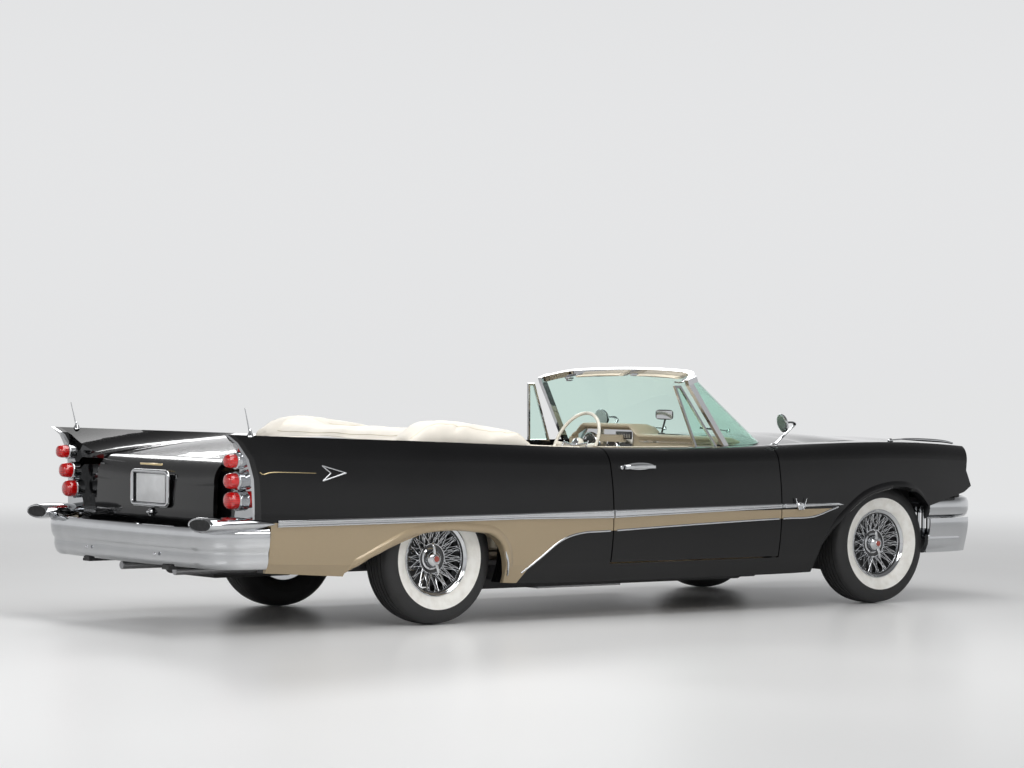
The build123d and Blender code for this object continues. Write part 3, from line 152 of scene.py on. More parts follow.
class Finish:
    def __init__(self, name, **values):
        self.material = bpy.data.materials.new(name)
        self.material.use_nodes = True
        self.tree = self.material.node_tree
        self.shader = self.tree.nodes["Principled BSDF"]
        for key, value in values.items():
            self.feed(shaderLabels.get(key, key.title()), value)

    def feed(self, label, value):
        socket = self.shader.inputs[label]
        if isinstance(value, Socket):
            self.tree.links.new(value.socket, socket)
        elif socket.type == "RGBA" and len(value) == 3:
            socket.default_value = (*value, 1)
        else:
            socket.default_value = value

    def node(self, kind, settings=None, inputs=(), output=0):
        made = self.tree.nodes.new("ShaderNode" + kind)
        for key, value in (settings or {}).items():
            if key == "stops":
                stops = made.color_ramp.elements
                while len(stops) > 1:
                    stops.remove(stops[-1])
                for index, (place, colour) in enumerate(value):
                    stop = stops[0] if index == 0 else stops.new(place)
                    stop.position = place
                    stop.color = (*colour, 1)
            elif key == "curve":
                setCurve(made, value)
                for point in made.mapping.curves[0].points:
                    point.handle_type = "VECTOR"
                made.mapping.update()
            else:
                setattr(made, key, value)
        pairs = inputs.items() if isinstance(inputs, dict) else enumerate(inputs)
        for key, value in pairs:
            if isinstance(value, Socket):
                self.tree.links.new(value.socket, made.inputs[key])
            elif made.inputs[key].type == "RGBA" and len(value) == 3:
                made.inputs[key].default_value = (*value, 1)
            else:
                made.inputs[key].default_value = value
        return Socket(self, made.outputs[output])

    def place(self):
        vector = self.node("TexCoord", output=3)
        return vector, [self.node("SeparateXYZ", {}, [vector], axis) for axis in range(3)]

    def noise(self, vector, scale, detail=3.0):
        return self.node("TexNoise", {}, {"Vector": vector, "Scale": scale, "Detail": detail})

    def blend(self, factor, first, second):
        return self.node("MixRGB", {"blend_type": "MIX"}, [factor, first, second])

    def tint(self, value, stops):
        return self.node("ValToRGB", {"stops": stops}, [value])

    def bump(self, height, strength, distance):
        bumped = self.node("Bump", {}, {"Height": height, "Strength": strength, "Distance": distance})
        self.feed("Normal", bumped)


def toned(colour, share):
    return tuple(min(1, channel * share) for channel in colour)


finishes = {}

paint = {
    "black": (0.0028, 0.0028, 0.0031), "gold": (0.36, 0.285, 0.185),
    "sweepTop": 0.580, "sweepStart": 0.405, "sweepEnd": 2.745, "sweepRear": 4.42, "skin": 0.90,
    # lower border of the gold sweep: share of the way back from sweepStart to sweepEnd, and height
    "border": [(0.0, 0.598), (0.043, 0.569), (0.105, 0.533), (0.205, 0.529), (0.447, 0.513), (0.735, 0.489),
               (0.82, 0.480), (0.872, 0.452), (0.925, 0.385), (0.965, 0.310), (1.0, 0.20)],
}

tower = {
    "foot": 4.450, "leans": [(0.8075, 0.9073, 0.021), (0.9073, 0.9928, 0.054), (0.9928, 1.0498, 0.074)],
    "brightEdge": 0.012, "outerX": 0.880,
}


def makePaint():
    f = Finish("bodyPaint", coat=1.0, coatRoughness=0.02, coatIor=1.36, ior=1.5, specular=0.06)
    vector, (x, y, z) = f.place()
    back = y - car["frontAxleY"]
    share = back.ramp(paint["sweepStart"], paint["sweepEnd"])
    border = f.node("FloatCurve", {"curve": paint["border"]}, {"Value": share})
    inside = (z > border) * (back > paint["sweepStart"])
    behind = back > paint["sweepEnd"]
    side = (z < paint["sweepTop"]) * (x.absolute() > paint["skin"]) * (back < paint["sweepRear"])
    gold = (inside + behind).clamp() * side
    mottle = f.noise(vector, 3.0)
    flake = f.noise(vector, 900.0, 1.0)
    goldTone = f.tint(flake, [(0.35, toned(paint["gold"], 0.86)), (0.65, toned(paint["gold"], 1.12))])
    blackTone = f.tint(mottle, [(0.3, paint["black"]), (0.7, toned(paint["black"], 1.5))])
    f.feed("Base Color", f.blend(gold, blackTone, goldTone))
    f.feed("Roughness", gold * 0.16 + mottle * 0.06 + 0.12)
    f.feed("Metallic", gold * 0.45)
    f.bump(f.noise(vector, 260.0, 2.0), 0.012, 0.001)
    return f.material


def makeChrome(name, colour=(0.60, 0.61, 0.625), rough=0.04):
    f = Finish(name, metallic=1.0)
    vector, parts = f.place()
    haze = f.noise(vector, 9.0, 4.0)
    f.feed("Base Color", f.tint(haze, [(0.3, toned(colour, 0.94)), (0.7, colour)]))
    f.feed("Roughness", haze.ramp(0.35, 0.75, rough, rough * 2.6))
    f.bump(f.noise(vector, 60.0, 2.0), 0.02, 0.001)
    return f.material


def makeTowerFinish():
    f = Finish("towerChrome", specular=0.3, coatRoughness=0.02, coatIor=1.36)
    vector, (x, y, z) = f.place()
    edge = tower["foot"] + car["frontAxleY"]
    for low, high, lean in tower["leans"]:                    # the rear edge leans back towards the tip
        edge = z.ramp(low, high, 0.0, lean) + edge
    ahead = y < edge - tower["brightEdge"]
    outer = x.absolute() > tower["outerX"]
    painted = ahead * outer
    haze = f.noise(vector, 9.0, 4.0)
    bright = f.tint(haze, [(0.3, (0.56, 0.57, 0.585)), (0.7, (0.60, 0.61, 0.625))])
    f.feed("Base Color", f.blend(painted, bright, paint["black"]))
    f.feed("Metallic", 1.0 - painted)
    f.feed("Coat Weight", painted * 1.0)
    f.feed("Roughness", painted * 0.12 + haze.ramp(0.35, 0.75, 0.04, 0.10))
    f.bump(f.noise(vector, 60.0, 2.0), 0.02, 0.001)
    return f.material


def makeGlass(name, colour, rough=0.01):
    f = Finish(name, color=colour, roughness=rough, transmission=1.0, ior=1.12)
    vector, parts = f.place()
    f.feed("Roughness", f.noise(vector, 5.0).ramp(0.4, 0.8, rough, rough + 0.03))
    return f.material


def makeLens(name, colour):
    f = Finish(name, color=colour, transmission=0.25, ior=1.46, coat=1.0, coatRoughness=0.03)
    vector, (x, y, z) = f.place()
    ribs = ((z * 620.0).sine() * 0.5 + 0.5) * 0.6 + ((x * 620.0).sine() * 0.5 + 0.5) * 0.4
    f.feed("Base Color", f.tint(ribs, [(0.1, toned(colour, 0.72)), (0.9, toned(colour, 1.25))]))
    f.feed("Roughness", ribs * 0.08 + 0.08)
    f.bump(ribs, 0.35, 0.002)
    return f.material


def makeHide(name, colour, grainScale=420.0, rough=0.42):
    f = Finish(name, coat=0.12, coatRoughness=0.35, sheen=0.12, sheenRoughness=0.5)
    vector, parts = f.place()
    cells = f.node("TexVoronoi", {"feature": "DISTANCE_TO_EDGE"}, {"Vector": vector, "Scale": grainScale})
    wear = f.noise(vector, 5.5, 5.0)
    f.feed("Base Color", f.tint(wear, [(0.25, toned(colour, 0.84)), (0.6, colour), (0.8, toned(colour, 1.05))]))
    f.feed("Roughness", wear.ramp(0.3, 0.7, rough, rough + 0.14))
    f.bump(cells.ramp(0.0, 0.12) * 0.6 + f.noise(vector, 40.0) * 0.5, 0.22, 0.0012)
    return f.material


def makeCloth(name, colour, weave=900.0, rough=0.85):
    f = Finish(name, sheen=0.25, sheenRoughness=0.6)
    vector, (x, y, z) = f.place()
    threads = ((x + z * 0.7) * weave).sine() * ((y + z * 0.7) * weave).sine()
    soil = f.noise(vector, 4.0, 6.0)
    tone = f.tint(soil, [(0.25, toned(colour, 0.86)), (0.62, colour)])
    f.feed("Base Color", f.blend(threads.ramp(-1.0, 1.0, 0.0, 0.22), tone, toned(colour, 0.78)))
    f.feed("Roughness", soil.ramp(0.3, 0.7, rough, rough + 0.1))
    f.bump(threads * 0.5 + f.noise(vector, 14.0, 3.0) * 0.6, 0.25, 0.0015)
    return f.material


whitewall = {"outside": 0.775, "inner": 0.196, "outer": 0.272}


def makeTyre():
    f = Finish("tyreRubber", coat=0.0)
    vector, (x, y, z) = f.place()
    front = (y < 0.0) * 1.0
    yMiddle = car["frontAxleY"] + (1.0 - front) * car["wheelbase"]
    radius = ((y - yMiddle).power(2.0) + (z - car["wheelHeight"]).power(2.0)).power(0.5)
    outward = x.absolute() > whitewall["outside"]
    white = (radius < whitewall["outer"]) * (radius > whitewall["inner"]) * outward
    scuff = f.noise(vector, 22.0, 4.0)
    whiteTone = f.tint(scuff, [(0.3, (0.74, 0.72, 0.67)), (0.6, (0.84, 0.83, 0.79))])
    blackTone = f.tint(scuff, [(0.3, (0.012, 0.012, 0.012)), (0.7, (0.024, 0.024, 0.025))])
    f.feed("Base Color", f.blend(white, blackTone, whiteTone))
    f.feed("Roughness", scuff.ramp(0.3, 0.7, 0.5, 0.72))
    rings = (radius * 900.0).sine() * (1.0 - white)
    f.bump(rings * 0.35 + scuff * 0.5, 0.22, 0.0015)
    return f.material


def makeDull(name, colour, rough, metallic=0.0, scale=40.0, depth=0.2, coat=0.0):
    f = Finish(name, metallic=metallic, coat=coat, coatRoughness=0.15)
    vector, parts = f.place()
    grain = f.noise(vector, scale, 5.0)
    dirt = f.noise(vector, 6.0, 4.0)
    f.feed("Base Color", f.tint(dirt, [(0.3, toned(colour, 0.72)), (0.65, colour)]))
    f.feed("Roughness", grain.ramp(0.3, 0.7, rough * 0.88, min(1.0, rough * 1.12)))
    f.bump(grain, depth, 0.0012)
    return f.material


def makeFinishes():
    finishes["paint"] = makePaint()
    finishes["chrome"] = makeChrome("brightChrome")
    finishes["tower"] = makeTowerFinish()
    finishes["satin"] = makeChrome("satinChrome", (0.62, 0.62, 0.62), 0.22)
    finishes["glass"] = makeGlass("tintedGlass", (0.72, 0.90, 0.83))
    finishes["clear"] = makeGlass("clearGlass", (0.96, 0.97, 0.98), 0.02)
    finishes["red"] = makeLens("redLens", (0.62, 0.006, 0.006))
    finishes["hide"] = makeHide("creamHide", (0.76, 0.68, 0.53))
    finishes["hideDark"] = makeHide("seatBaseHide", (0.62, 0.54, 0.41))
    finishes["piping"] = makeHide("pipingHide", (0.80, 0.73, 0.59), 700.0, 0.36)
    finishes["cover"] = makeHide("coverVinyl", (0.84, 0.79, 0.70), 520.0, 0.5)
    finishes["dash"] = makeHide("dashPaint", (0.50, 0.43, 0.31), 300.0, 0.35)
    finishes["ivory"] = makeDull("ivoryPlastic", (0.86, 0.82, 0.72), 0.22, 0.0, 30.0, 0.02, 0.6)
    finishes["tyre"] = makeTyre()
    finishes["chassis"] = makeDull("chassisPaint", (0.02, 0.02, 0.021), 0.5)
    finishes["carpet"] = makeCloth("brownCarpet", (0.30, 0.24, 0.17), 1500.0, 0.95)
    finishes["iron"] = makeDull("castIron", (0.16, 0.16, 0.165), 0.6, 0.7, 120.0, 0.5)
    finishes["steel"] = makeDull("bareSteel", (0.40, 0.40, 0.41), 0.4, 0.9, 60.0, 0.15)
    finishes["plate"] = makeDull("platePaint", (0.78, 0.79, 0.80), 0.35, 0.0, 30.0, 0.05, 0.4)
    finishes["rubber"] = makeDull("blackRubber", (0.012, 0.012, 0.013), 0.7)
    finishes["brass"] = makeChrome("goldPlate", (0.75, 0.60, 0.34), 0.08)
    finishes["copper"] = makeDull("redEnamel", (0.36, 0.05, 0.03), 0.25, 0.2, 30.0, 0.02, 0.8)
    finishes["dial"] = makeDull("dialBlack", (0.02, 0.02, 0.022), 0.3, 0.0, 30.0, 0.02, 0.5)


makeFinishes()
slotFinish = {
    "black_paint": "paint", "chrome": "chrome", "glass": "glass", "lamp_glass": "clear", "red_lens": "red",
    "cream_leather": "hide", "cover_cloth": "cover", "beige_paint": "dash", "cream_plastic": "ivory",
    "chassis_black": "chassis", "carpet": "carpet", "cast_iron": "iron", "steel": "steel", "tyre": "tyre",
}
ownFinish = {"tail_lamp_towers": "tower"}
for part in frame["record"]["subparts"]:
    node = nodes[part["node"]]
    node.data.materials.clear()
    finish = ownFinish.get(part["node"], slotFinish[part["material_slot"]])
    node.data.materials.append(finishes[finish])
print("stage: finishes")


# Making pieces
def clearSelection():
    if bpy.context.object and bpy.context.object.mode != "OBJECT":
        bpy.ops.object.mode_set(mode="OBJECT")
    bpy.ops.object.select_all(action="DESELECT")


def makeActive(piece):
    clearSelection()
    piece.select_set(True)
    bpy.context.view_layer.objects.active = piece


def applyModifiers(piece):
    makeActive(piece)
    for modifier in list(piece.modifiers):
        bpy.ops.object.modifier_apply(modifier=modifier.name)


def finishPiece(piece, name, finish, body, smooth=30, replaced=()):
    makeActive(piece)
    bpy.ops.object.transform_apply(location=True, rotation=True, scale=True)
    if smooth:
        bpy.ops.object.shade_smooth_by_angle(angle=math.radians(smooth))
    piece.name = name
    piece.data.name = name
    piece.data.materials.clear()
    piece.data.materials.append(finishes[finish])
    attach(piece, body)
    if replaced:
        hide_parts(*replaced)


def finishBright(pieces, name, body="body", smooth=40, replaced=()):
    piece = joined(pieces) if len(pieces) > 1 else pieces[0]
    finishPiece(piece, name, "chrome", body, smooth, replaced)


mergeGap = 0.00005                            # points nearer than this are one
wholeTurn = 2 * math.pi
sides = ((1, "left"), (-1, "right"))
down, rearward = (0, 0, -1), (0, 1, 0)


def easeStep(value, low, high):
    share = min(1.0, max(0.0, (value - low) / (high - low)))
    return share * share * (3 - 2 * share)


def tidyShell(piece):
    makeActive(piece)
    bpy.ops.object.mode_set(mode="EDIT")
    bpy.ops.mesh.select_all(action="SELECT")
    bpy.ops.mesh.remove_doubles(threshold=mergeGap)
    bpy.ops.mesh.normals_make_consistent(inside=False)
    bpy.ops.object.mode_set(mode="OBJECT")
    return piece


def gridSheet(across, along, place):          # a grid whose points go where place(u, v) says
    clearSelection()
    bpy.ops.mesh.primitive_grid_add(x_subdivisions=across, y_subdivisions=along, size=2, location=(0, 0, 0))
    piece = bpy.context.object
    for vertex in piece.data.vertices:
        vertex.co = place((vertex.co.x + 1) / 2, (vertex.co.y + 1) / 2)
    return piece


def closeEnds(piece):
    makeActive(piece)
    bpy.ops.object.mode_set(mode="EDIT")
    bpy.ops.mesh.select_all(action="SELECT")
    bpy.ops.mesh.remove_doubles(threshold=mergeGap)
    bpy.ops.mesh.select_all(action="DESELECT")
    bpy.ops.mesh.select_non_manifold(
        extend=False, use_wire=False, use_multi_face=False, use_non_contiguous=False, use_verts=False)
    bpy.ops.mesh.edge_face_add()
    bpy.ops.mesh.select_all(action="SELECT")
    bpy.ops.mesh.normals_make_consistent(inside=False)
    bpy.ops.object.mode_set(mode="OBJECT")
    return piece


def alongPath(points, share):                 # the point at this share of a polyline's length
    lengths = [0.0]
    for a, b in zip(points, points[1:]):
        lengths.append(lengths[-1] + (b - a).length)
    goal = share * lengths[-1]
    for index, (a, b) in enumerate(zip(points, points[1:])):
        if goal <= lengths[index + 1] + 1e-9:
            span = lengths[index + 1] - lengths[index]
            return a.lerp(b, (goal - lengths[index]) / span if span else 0)
    return points[-1]


def smoothLine(points, count):                # a Catmull-Rom line through the points, evenly by length
    p = [Vector(q) for q in points]
    p = [p[0] * 2 - p[1]] + p + [p[-1] * 2 - p[-2]]
    dense = []
    for a, b, c, d in zip(p, p[1:], p[2:], p[3:]):
        for k in range(12):
            t = k / 12
            bend = (2 * a - 5 * b + 4 * c - d) * t ** 2
            twist = (3 * b - a - 3 * c + d) * t ** 3
            dense.append(0.5 * (2 * b + (c - a) * t + bend + twist))
    dense.append(p[-2])
    return [alongPath(dense, i / (count - 1)) for i in range(count)]


# A round bar through the points: flat scales it sideways and upwards, and hold is near its upward side
def tube(points, radius, steps=10, flat=(1, 1), taper=None, closed=False, hold=(0, 0, 1)):
    count = len(points)
    headings = []
    for i in range(count):
        a = points[(i - 1) % count] if closed or i else points[i]
        b = points[(i + 1) % count] if closed or i < count - 1 else points[i]
        headings.append((Vector(b) - Vector(a)).normalized())
    rows = count if closed else count - 1

    def place(u, v):
        i = round(v * rows) % count
        heading = headings[i]
        side = heading.cross(Vector(hold))
        side = side.normalized() if side.length > 1e-4 else heading.orthogonal().normalized()
        up = side.cross(heading).normalized()
        angle = u * wholeTurn
        size = radius * (taper(v) if taper else 1)
        across = side * math.cos(angle) * size * flat[0]
        return Vector(points[i]) + across + up * math.sin(angle) * size * flat[1]

    piece = gridSheet(steps, rows, place)
    return tidyShell(piece) if closed else closeEnds(piece)


turns = {                                     # from upwards to each axis
    "Z": Matrix.Identity(4), "Y": Matrix.Rotation(-math.pi / 2, 4, "X"),
    "X": Matrix.Rotation(math.pi / 2, 4, "Y"), "-X": Matrix.Rotation(-math.pi / 2, 4, "Y"),
}


# A profile of radius and height turned about an axis through middle
def lathe(profile, steps, middle=(0, 0, 0), axis="Z"):
    clearSelection()
    bpy.ops.mesh.primitive_plane_add(size=0.01, location=(0, 0, 0))
    piece = bpy.context.object
    bpy.ops.object.mode_set(mode="EDIT")
    bpy.ops.mesh.select_all(action="SELECT")
    bpy.ops.mesh.merge(type="CENTER")
    bpy.ops.transform.translate(value=(profile[0][0], 0, profile[0][1]))
    for a, b in zip(profile, profile[1:]):
        step = (b[0] - a[0], 0, b[1] - a[1])
        bpy.ops.mesh.extrude_region_move(TRANSFORM_OT_translate={"value": step})
    bpy.ops.mesh.select_all(action="SELECT")
    bpy.ops.mesh.spin(steps=steps, angle=wholeTurn, center=(0, 0, 0), axis=(0, 0, 1))
    bpy.ops.mesh.select_all(action="SELECT")
    bpy.ops.mesh.remove_doubles(threshold=0.00004)
    bpy.ops.mesh.normals_make_consistent(inside=False)
    bpy.ops.object.mode_set(mode="OBJECT")
    piece.data.transform(Matrix.Translation(Vector(middle)) @ turns[axis])
    return piece


def rounded(piece, edge, segments):
    piece.modifiers.new("round", "BEVEL").width = edge
    piece.modifiers["round"].segments = segments
    applyModifiers(piece)


def slab(low, high, edge=0.002, segments=2):  # a box between two corners with rounded edges
    clearSelection()
    low, high = Vector(low), Vector(high)
    bpy.ops.mesh.primitive_cube_add(size=1, location=(low + high) / 2, scale=high - low)
    piece = bpy.context.object
    bpy.ops.object.transform_apply(location=True, rotation=True, scale=True)
    if edge:
        rounded(piece, edge, segments)
    return piece


def thickened(piece, thickness, offset=-1):
    piece.modifiers.new("thick", "SOLIDIFY").thickness = thickness
    piece.modifiers["thick"].offset = offset
    applyModifiers(piece)
    return piece


def joined(pieces):
    clearSelection()
    for piece in pieces:
        piece.select_set(True)
    bpy.context.view_layer.objects.active = pieces[0]
    bpy.ops.object.join()
    return bpy.context.object


probe = {"outside": 1.4, "innermost": 0.8}    # rays to the skin start outside and ignore what is further in


def skinX(names, side, distance, height, fallback):       # how far out these CAD nodes reach here
    start, inward = Vector((side * probe["outside"], at(distance), height)), Vector((-side, 0, 0))
    reached = []
    for name in names:
        hit, spot, normal, index = nodes[name].ray_cast(start, inward)
        if hit and abs(spot.x) > probe["innermost"]:
            reached.append(abs(spot.x))
    return side * max(reached, default=fallback)


def nearAngle(angle, other):                  # the same angle within half a turn of the other
    return other + (angle - other + math.pi) % wholeTurn - math.pi


def arc(first, middle, last, count):          # points on the circle through three points in plan
    (ax, ay), (bx, by), (cx, cy) = first, middle, last
    a, b, c = ax ** 2 + ay ** 2, bx ** 2 + by ** 2, cx ** 2 + cy ** 2
    d = 2 * (ax * (by - cy) + bx * (cy - ay) + cx * (ay - by))
    ux = (a * (by - cy) + b * (cy - ay) + c * (ay - by)) / d
    uy = (a * (cx - bx) + b * (ax - cx) + c * (bx - ax)) / d
    radius = math.hypot(ax - ux, ay - uy)
    start = math.atan2(ay - uy, ax - ux)
    end = nearAngle(math.atan2(cy - uy, cx - ux), nearAngle(math.atan2(by - uy, bx - ux), start))
    angles = [start + (end - start) * i / (count - 1) for i in range(count)]
    return [(ux + radius * math.cos(angle), uy + radius * math.sin(angle)) for angle in angles]


# Wheels and tyres
wheel = {
    "spokes": 36, "spokeRadius": 0.0021, "spokeExtra": 0.006,
    # profiles as radius and distance outwards from the wheel's middle
    "rim": [(0.1700, -0.079), (0.2000, -0.079), (0.2000, -0.073), (0.1775, -0.071), (0.1765, 0.060),
            (0.1830, 0.068), (0.1990, 0.071), (0.2030, 0.0735), (0.2045, 0.0775), (0.2025, 0.0815),
            (0.1985, 0.0825), (0.1945, 0.0790), (0.1900, 0.0755), (0.1860, 0.0740), (0.1800, 0.0660),
            (0.1745, 0.0560), (0.1725, 0.0450), (0.1700, 0.020), (0.1700, -0.079)],
    "drum": [(0.021, -0.095), (0.150, -0.095), (0.156, -0.090), (0.156, -0.020), (0.150, -0.012),
             (0.060, -0.008), (0.0205, -0.008), (0.0205, -0.095), (0.021, -0.095)],
    "hub": [(0.0, 0.0455), (0.020, 0.0450), (0.060, 0.030), (0.060, -0.006), (0.078, -0.006), (0.0825, 0.004),
            (0.0840, 0.024), (0.0850, 0.034), (0.0825, 0.0385), (0.0790, 0.0380), (0.0770, 0.0300),
            (0.0560, 0.0265), (0.0520, 0.0300), (0.0500, 0.0400), (0.0470, 0.0560), (0.0400, 0.0680),
            (0.0300, 0.0750), (0.0215, 0.0775), (0.0205, 0.0800), (0.0180, 0.0820), (0.0, 0.0820)],
    "ring": [(0.0575, 0.0270), (0.0765, 0.0305), (0.0760, 0.0325), (0.0570, 0.0295), (0.0575, 0.0270)],
    "badge": [(0.0, 0.0812), (0.0165, 0.0812), (0.0160, 0.0830), (0.0100, 0.0842), (0.0, 0.0846)],
    # each layer of spokes: inner and outer end in the same measures, and the lean between them
    "layers": [((0.0800, 0.036), (0.1760, 0.052), 0.30), ((0.0800, 0.008), (0.1740, 0.046), -0.26),
               ((0.0810, 0.022), (0.1750, 0.058), 0.06)],
    "spinner": [(0.0, 0.0), (0.022, 0.004), (0.050, 0.010), (0.074, 0.009), (0.088, 0.003)],
    "spinnerOut": 0.066, "spinnerTurn": 78, "spinnerRadius": 0.0115,
}
tyre = {
    "radius": 0.3545, "tread": 0.084, "shoulder": 0.3455, "crown": 0.009,
    "grooves": [-0.056, -0.028, 0.0, 0.028, 0.056], "halfGroove": 0.003, "depth": 0.007, "slope": 0.0012,
    "side": [(0.336, 0.0945), (0.322, 0.1035), (0.300, 0.1095), (0.285, 0.111), (0.2725, 0.1105),
             (0.2715, 0.1092), (0.262, 0.1080), (0.240, 0.1020), (0.221, 0.0935), (0.209, 0.0855),
             (0.2035, 0.0785), (0.2005, 0.071), (0.1785, 0.071)],
}


def tyreProfile():
    outer = [(tyre["shoulder"], -tyre["tread"])]
    half, deep = tyre["halfGroove"], tyre["depth"]
    for groove in tyre["grooves"]:
        top = tyre["radius"] - tyre["crown"] * (groove / tyre["tread"]) ** 2
        edge = half + tyre["slope"]
        outer += [(top, groove - edge), (top - deep, groove - half)]
        outer += [(top - deep, groove + half), (top, groove + edge)]
    outer.append((tyre["shoulder"], tyre["tread"]))
    left = [(radius, -out) for radius, out in reversed(tyre["side"])]
    return left + outer + tyre["side"] + left[:1]


def makeSpokes(middle, side):
    clearSelection()
    bpy.ops.mesh.primitive_cylinder_add(vertices=6, radius=1, depth=1, end_fill_type="NGON", location=(0, 0, 0))
    stock = bpy.context.object
    wires = []
    for layer, (inner, outer, spread) in enumerate(wheel["layers"]):
        for index in range(wheel["spokes"]):
            near = wholeTurn * (index + layer / len(wheel["layers"])) / wheel["spokes"]
            far = near + (spread if index % 2 else -spread)
            a, b = (middle + Vector((side * out, radius * math.cos(angle), radius * math.sin(angle)))
                    for (radius, out), angle in ((inner, near), (outer, far)))
            wire = bpy.data.objects.new("wire", stock.data.copy())
            scene.collection.objects.link(wire)
            turn = (b - a).to_track_quat("Z", "Y").to_matrix().to_4x4()
            radius = wheel["spokeRadius"]
            size = Matrix.Diagonal((radius, radius, (b - a).length + wheel["spokeExtra"], 1))
            wire.data.transform(Matrix.Translation((a + b) / 2) @ turn @ size)
            wires.append(wire)
    bpy.data.objects.remove(stock)
    return joined(wires)


def makeSpinner(middle, side):                # the two-bar knock-off
    turn = math.radians(wheel["spinnerTurn"])
    bars = []
    for way in (-1, 1):
        points = [middle + Vector((side * (wheel["spinnerOut"] + lift), way * reach * math.cos(turn),
                                   way * reach * math.sin(turn))) for reach, lift in wheel["spinner"]]
        bars.append(tube(smoothLine(points, 9), wheel["spinnerRadius"], 10, (1.0, 0.55),
                         lambda v: 1.0 - 0.45 * v, hold=(1, 0, 0)))
    return bars


def makeWheelPieces(corner, side, distance, track):
    middle = Vector((side * track / 2, at(distance), car["wheelHeight"]))
    axis = "X" if side > 0 else "-X"
    body = f"wheel_{corner}"
    rubber = lathe(tyreProfile(), 112, middle, axis)
    finishPiece(rubber, f"tyre_{corner}_tread", "tyre", body, 35, [f"tyre_{corner}"])
    rim, drum, hub, ring, badge = (lathe(wheel[kind], steps, middle, axis) for kind, steps in (
        ("rim", 96), ("drum", 72), ("hub", 72), ("ring", 64), ("badge", 40)))
    bright = [rim, hub, makeSpokes(middle, side)] + makeSpinner(middle, side)
    finishBright(bright, f"wheel_{corner}_wires", body, 35, [f"wheel_{corner}"])
    finishPiece(drum, f"wheel_{corner}_drum", "chassis", body, 35)
    finishPiece(ring, f"wheel_{corner}_ring", "dial", body, 35)
    finishPiece(badge, f"wheel_{corner}_badge", "copper", body, 35)


for axle, distance, track in (("front", 0.0, car["frontTrack"]), ("rear", car["wheelbase"], car["rearTrack"])):
    for side, label in sides:
        makeWheelPieces(f"{axle}_{label}", side, distance, track)
print("stage: wheels")

# Arch flares
arch = {
    "rear": [(3.852, 0.310), (3.800, 0.335), (3.740, 0.362), (3.616, 0.4256), (3.500, 0.478), (3.395, 0.5026),
             (3.210, 0.5149), (3.021, 0.4988), (2.940, 0.486), (2.883, 0.4465), (2.848, 0.395), (2.829, 0.330),
             (2.820, 0.260)],
    "front": [(0.5536, 0.365), (0.470, 0.450), (0.304, 0.583), (0.180, 0.648), (0.032, 0.680),
              (-0.090, 0.681), (-0.198, 0.661), (-0.275, 0.612)],
    # across the lip: how far from the arch line and how far out
    "across": [(0.000, -0.016), (0.0005, 0.001), (0.005, 0.008), (0.014, 0.0115), (0.026, 0.010),
               (0.038, 0.005), (0.050, -0.002)],
    "steps": 71, "thin": 0.35, "aim": 0.25, "skin": 0.955,
}


def makeFlare(name, points, side, panel, endFade):
    steps = arch["steps"]
    line = smoothLine([(0, s, z) for s, z in points], steps + 1)
    middle = sum(line, Vector()) / len(line)
    edges = []
    for i, p in enumerate(line):
        heading = (line[min(i + 1, steps)] - line[max(i - 1, 0)]).normalized()
        outward = Vector((0, -heading.z, heading.y))
        if outward.dot(p - Vector((0, middle.y, middle.z - arch["aim"]))) < 0:
            outward = -outward
        edges.append(outward)
    shares = arch["across"]

    def place(u, v):
        i, k = round(v * steps), round(u * (len(shares) - 1))
        reach, proud = shares[k]
        fade = easeStep(min(v, 1 - v) / endFade, 0, 1)
        wide = arch["thin"] + (1 - arch["thin"]) * fade
        spot = line[i] + edges[i] * reach * wide
        near = line[i] + edges[i] * max(reach, 0.004) * wide
        base = abs(skinX([panel], side, near.y, near.z, arch["skin"]))
        return Vector((side * (base + proud * (fade if proud > 0 else 1)), at(spot.y), spot.z))

    piece = tidyShell(gridSheet(len(shares) - 1, steps, place))
    finishPiece(piece, name, "paint", "body", 60)


for side, label in sides:
    makeFlare(f"rear_flare_{label}", arch["rear"], side, "rear_quarters", 0.06)
    makeFlare(f"front_flare_{label}", arch["front"], side, "front_wings", 0.22)
print("stage: flares")

# Side spear and sweep border
spear = {
    "top": [(0.430, 0.607), (0.460, 0.610), (0.892, 0.613), (2.1216, 0.603), (2.756, 0.597), (4.300, 0.592)],
    "bottom": [(0.430, 0.600), (0.560, 0.5975), (0.892, 0.590), (2.1216, 0.559), (2.756, 0.566),
               (4.300, 0.557)],
    "border": [(0.412, 0.597), (0.506, 0.569), (0.651, 0.533), (0.886, 0.529), (1.451, 0.513), (2.125, 0.489),
               (2.325, 0.482), (2.466, 0.444), (2.605, 0.350), (2.728, 0.262)],
    "runs": [("wing", 0.432, 0.872, ["front_wings", "body_trims"]), ("door", 0.890, 2.100, []),
             ("quarter", 2.120, 4.298, ["rear_quarters", "body_trims"])],
    # which edge of the band, the bead's radius and its distance from that edge
    "beads": [("top", 0.0075, -0.0075), ("bottom", 0.0048, 0.0052)],
    "count": 40, "narrow": 0.024, "skin": 0.998,
    "borderStart": 0.415, "borderEnd": 2.726, "borderRadius": 0.0055, "borderSkin": 0.975,
    "guard": [(2.806, 0.262), (2.812, 0.300), (2.820, 0.350), (2.836, 0.398)], "guardRadius": 0.017,
}


def heightAt(line, distance):
    for (a, za), (b, zb) in zip(line, line[1:]):
        if distance <= b:
            return za + (zb - za) * (distance - a) / (b - a)
    return line[-1][1]


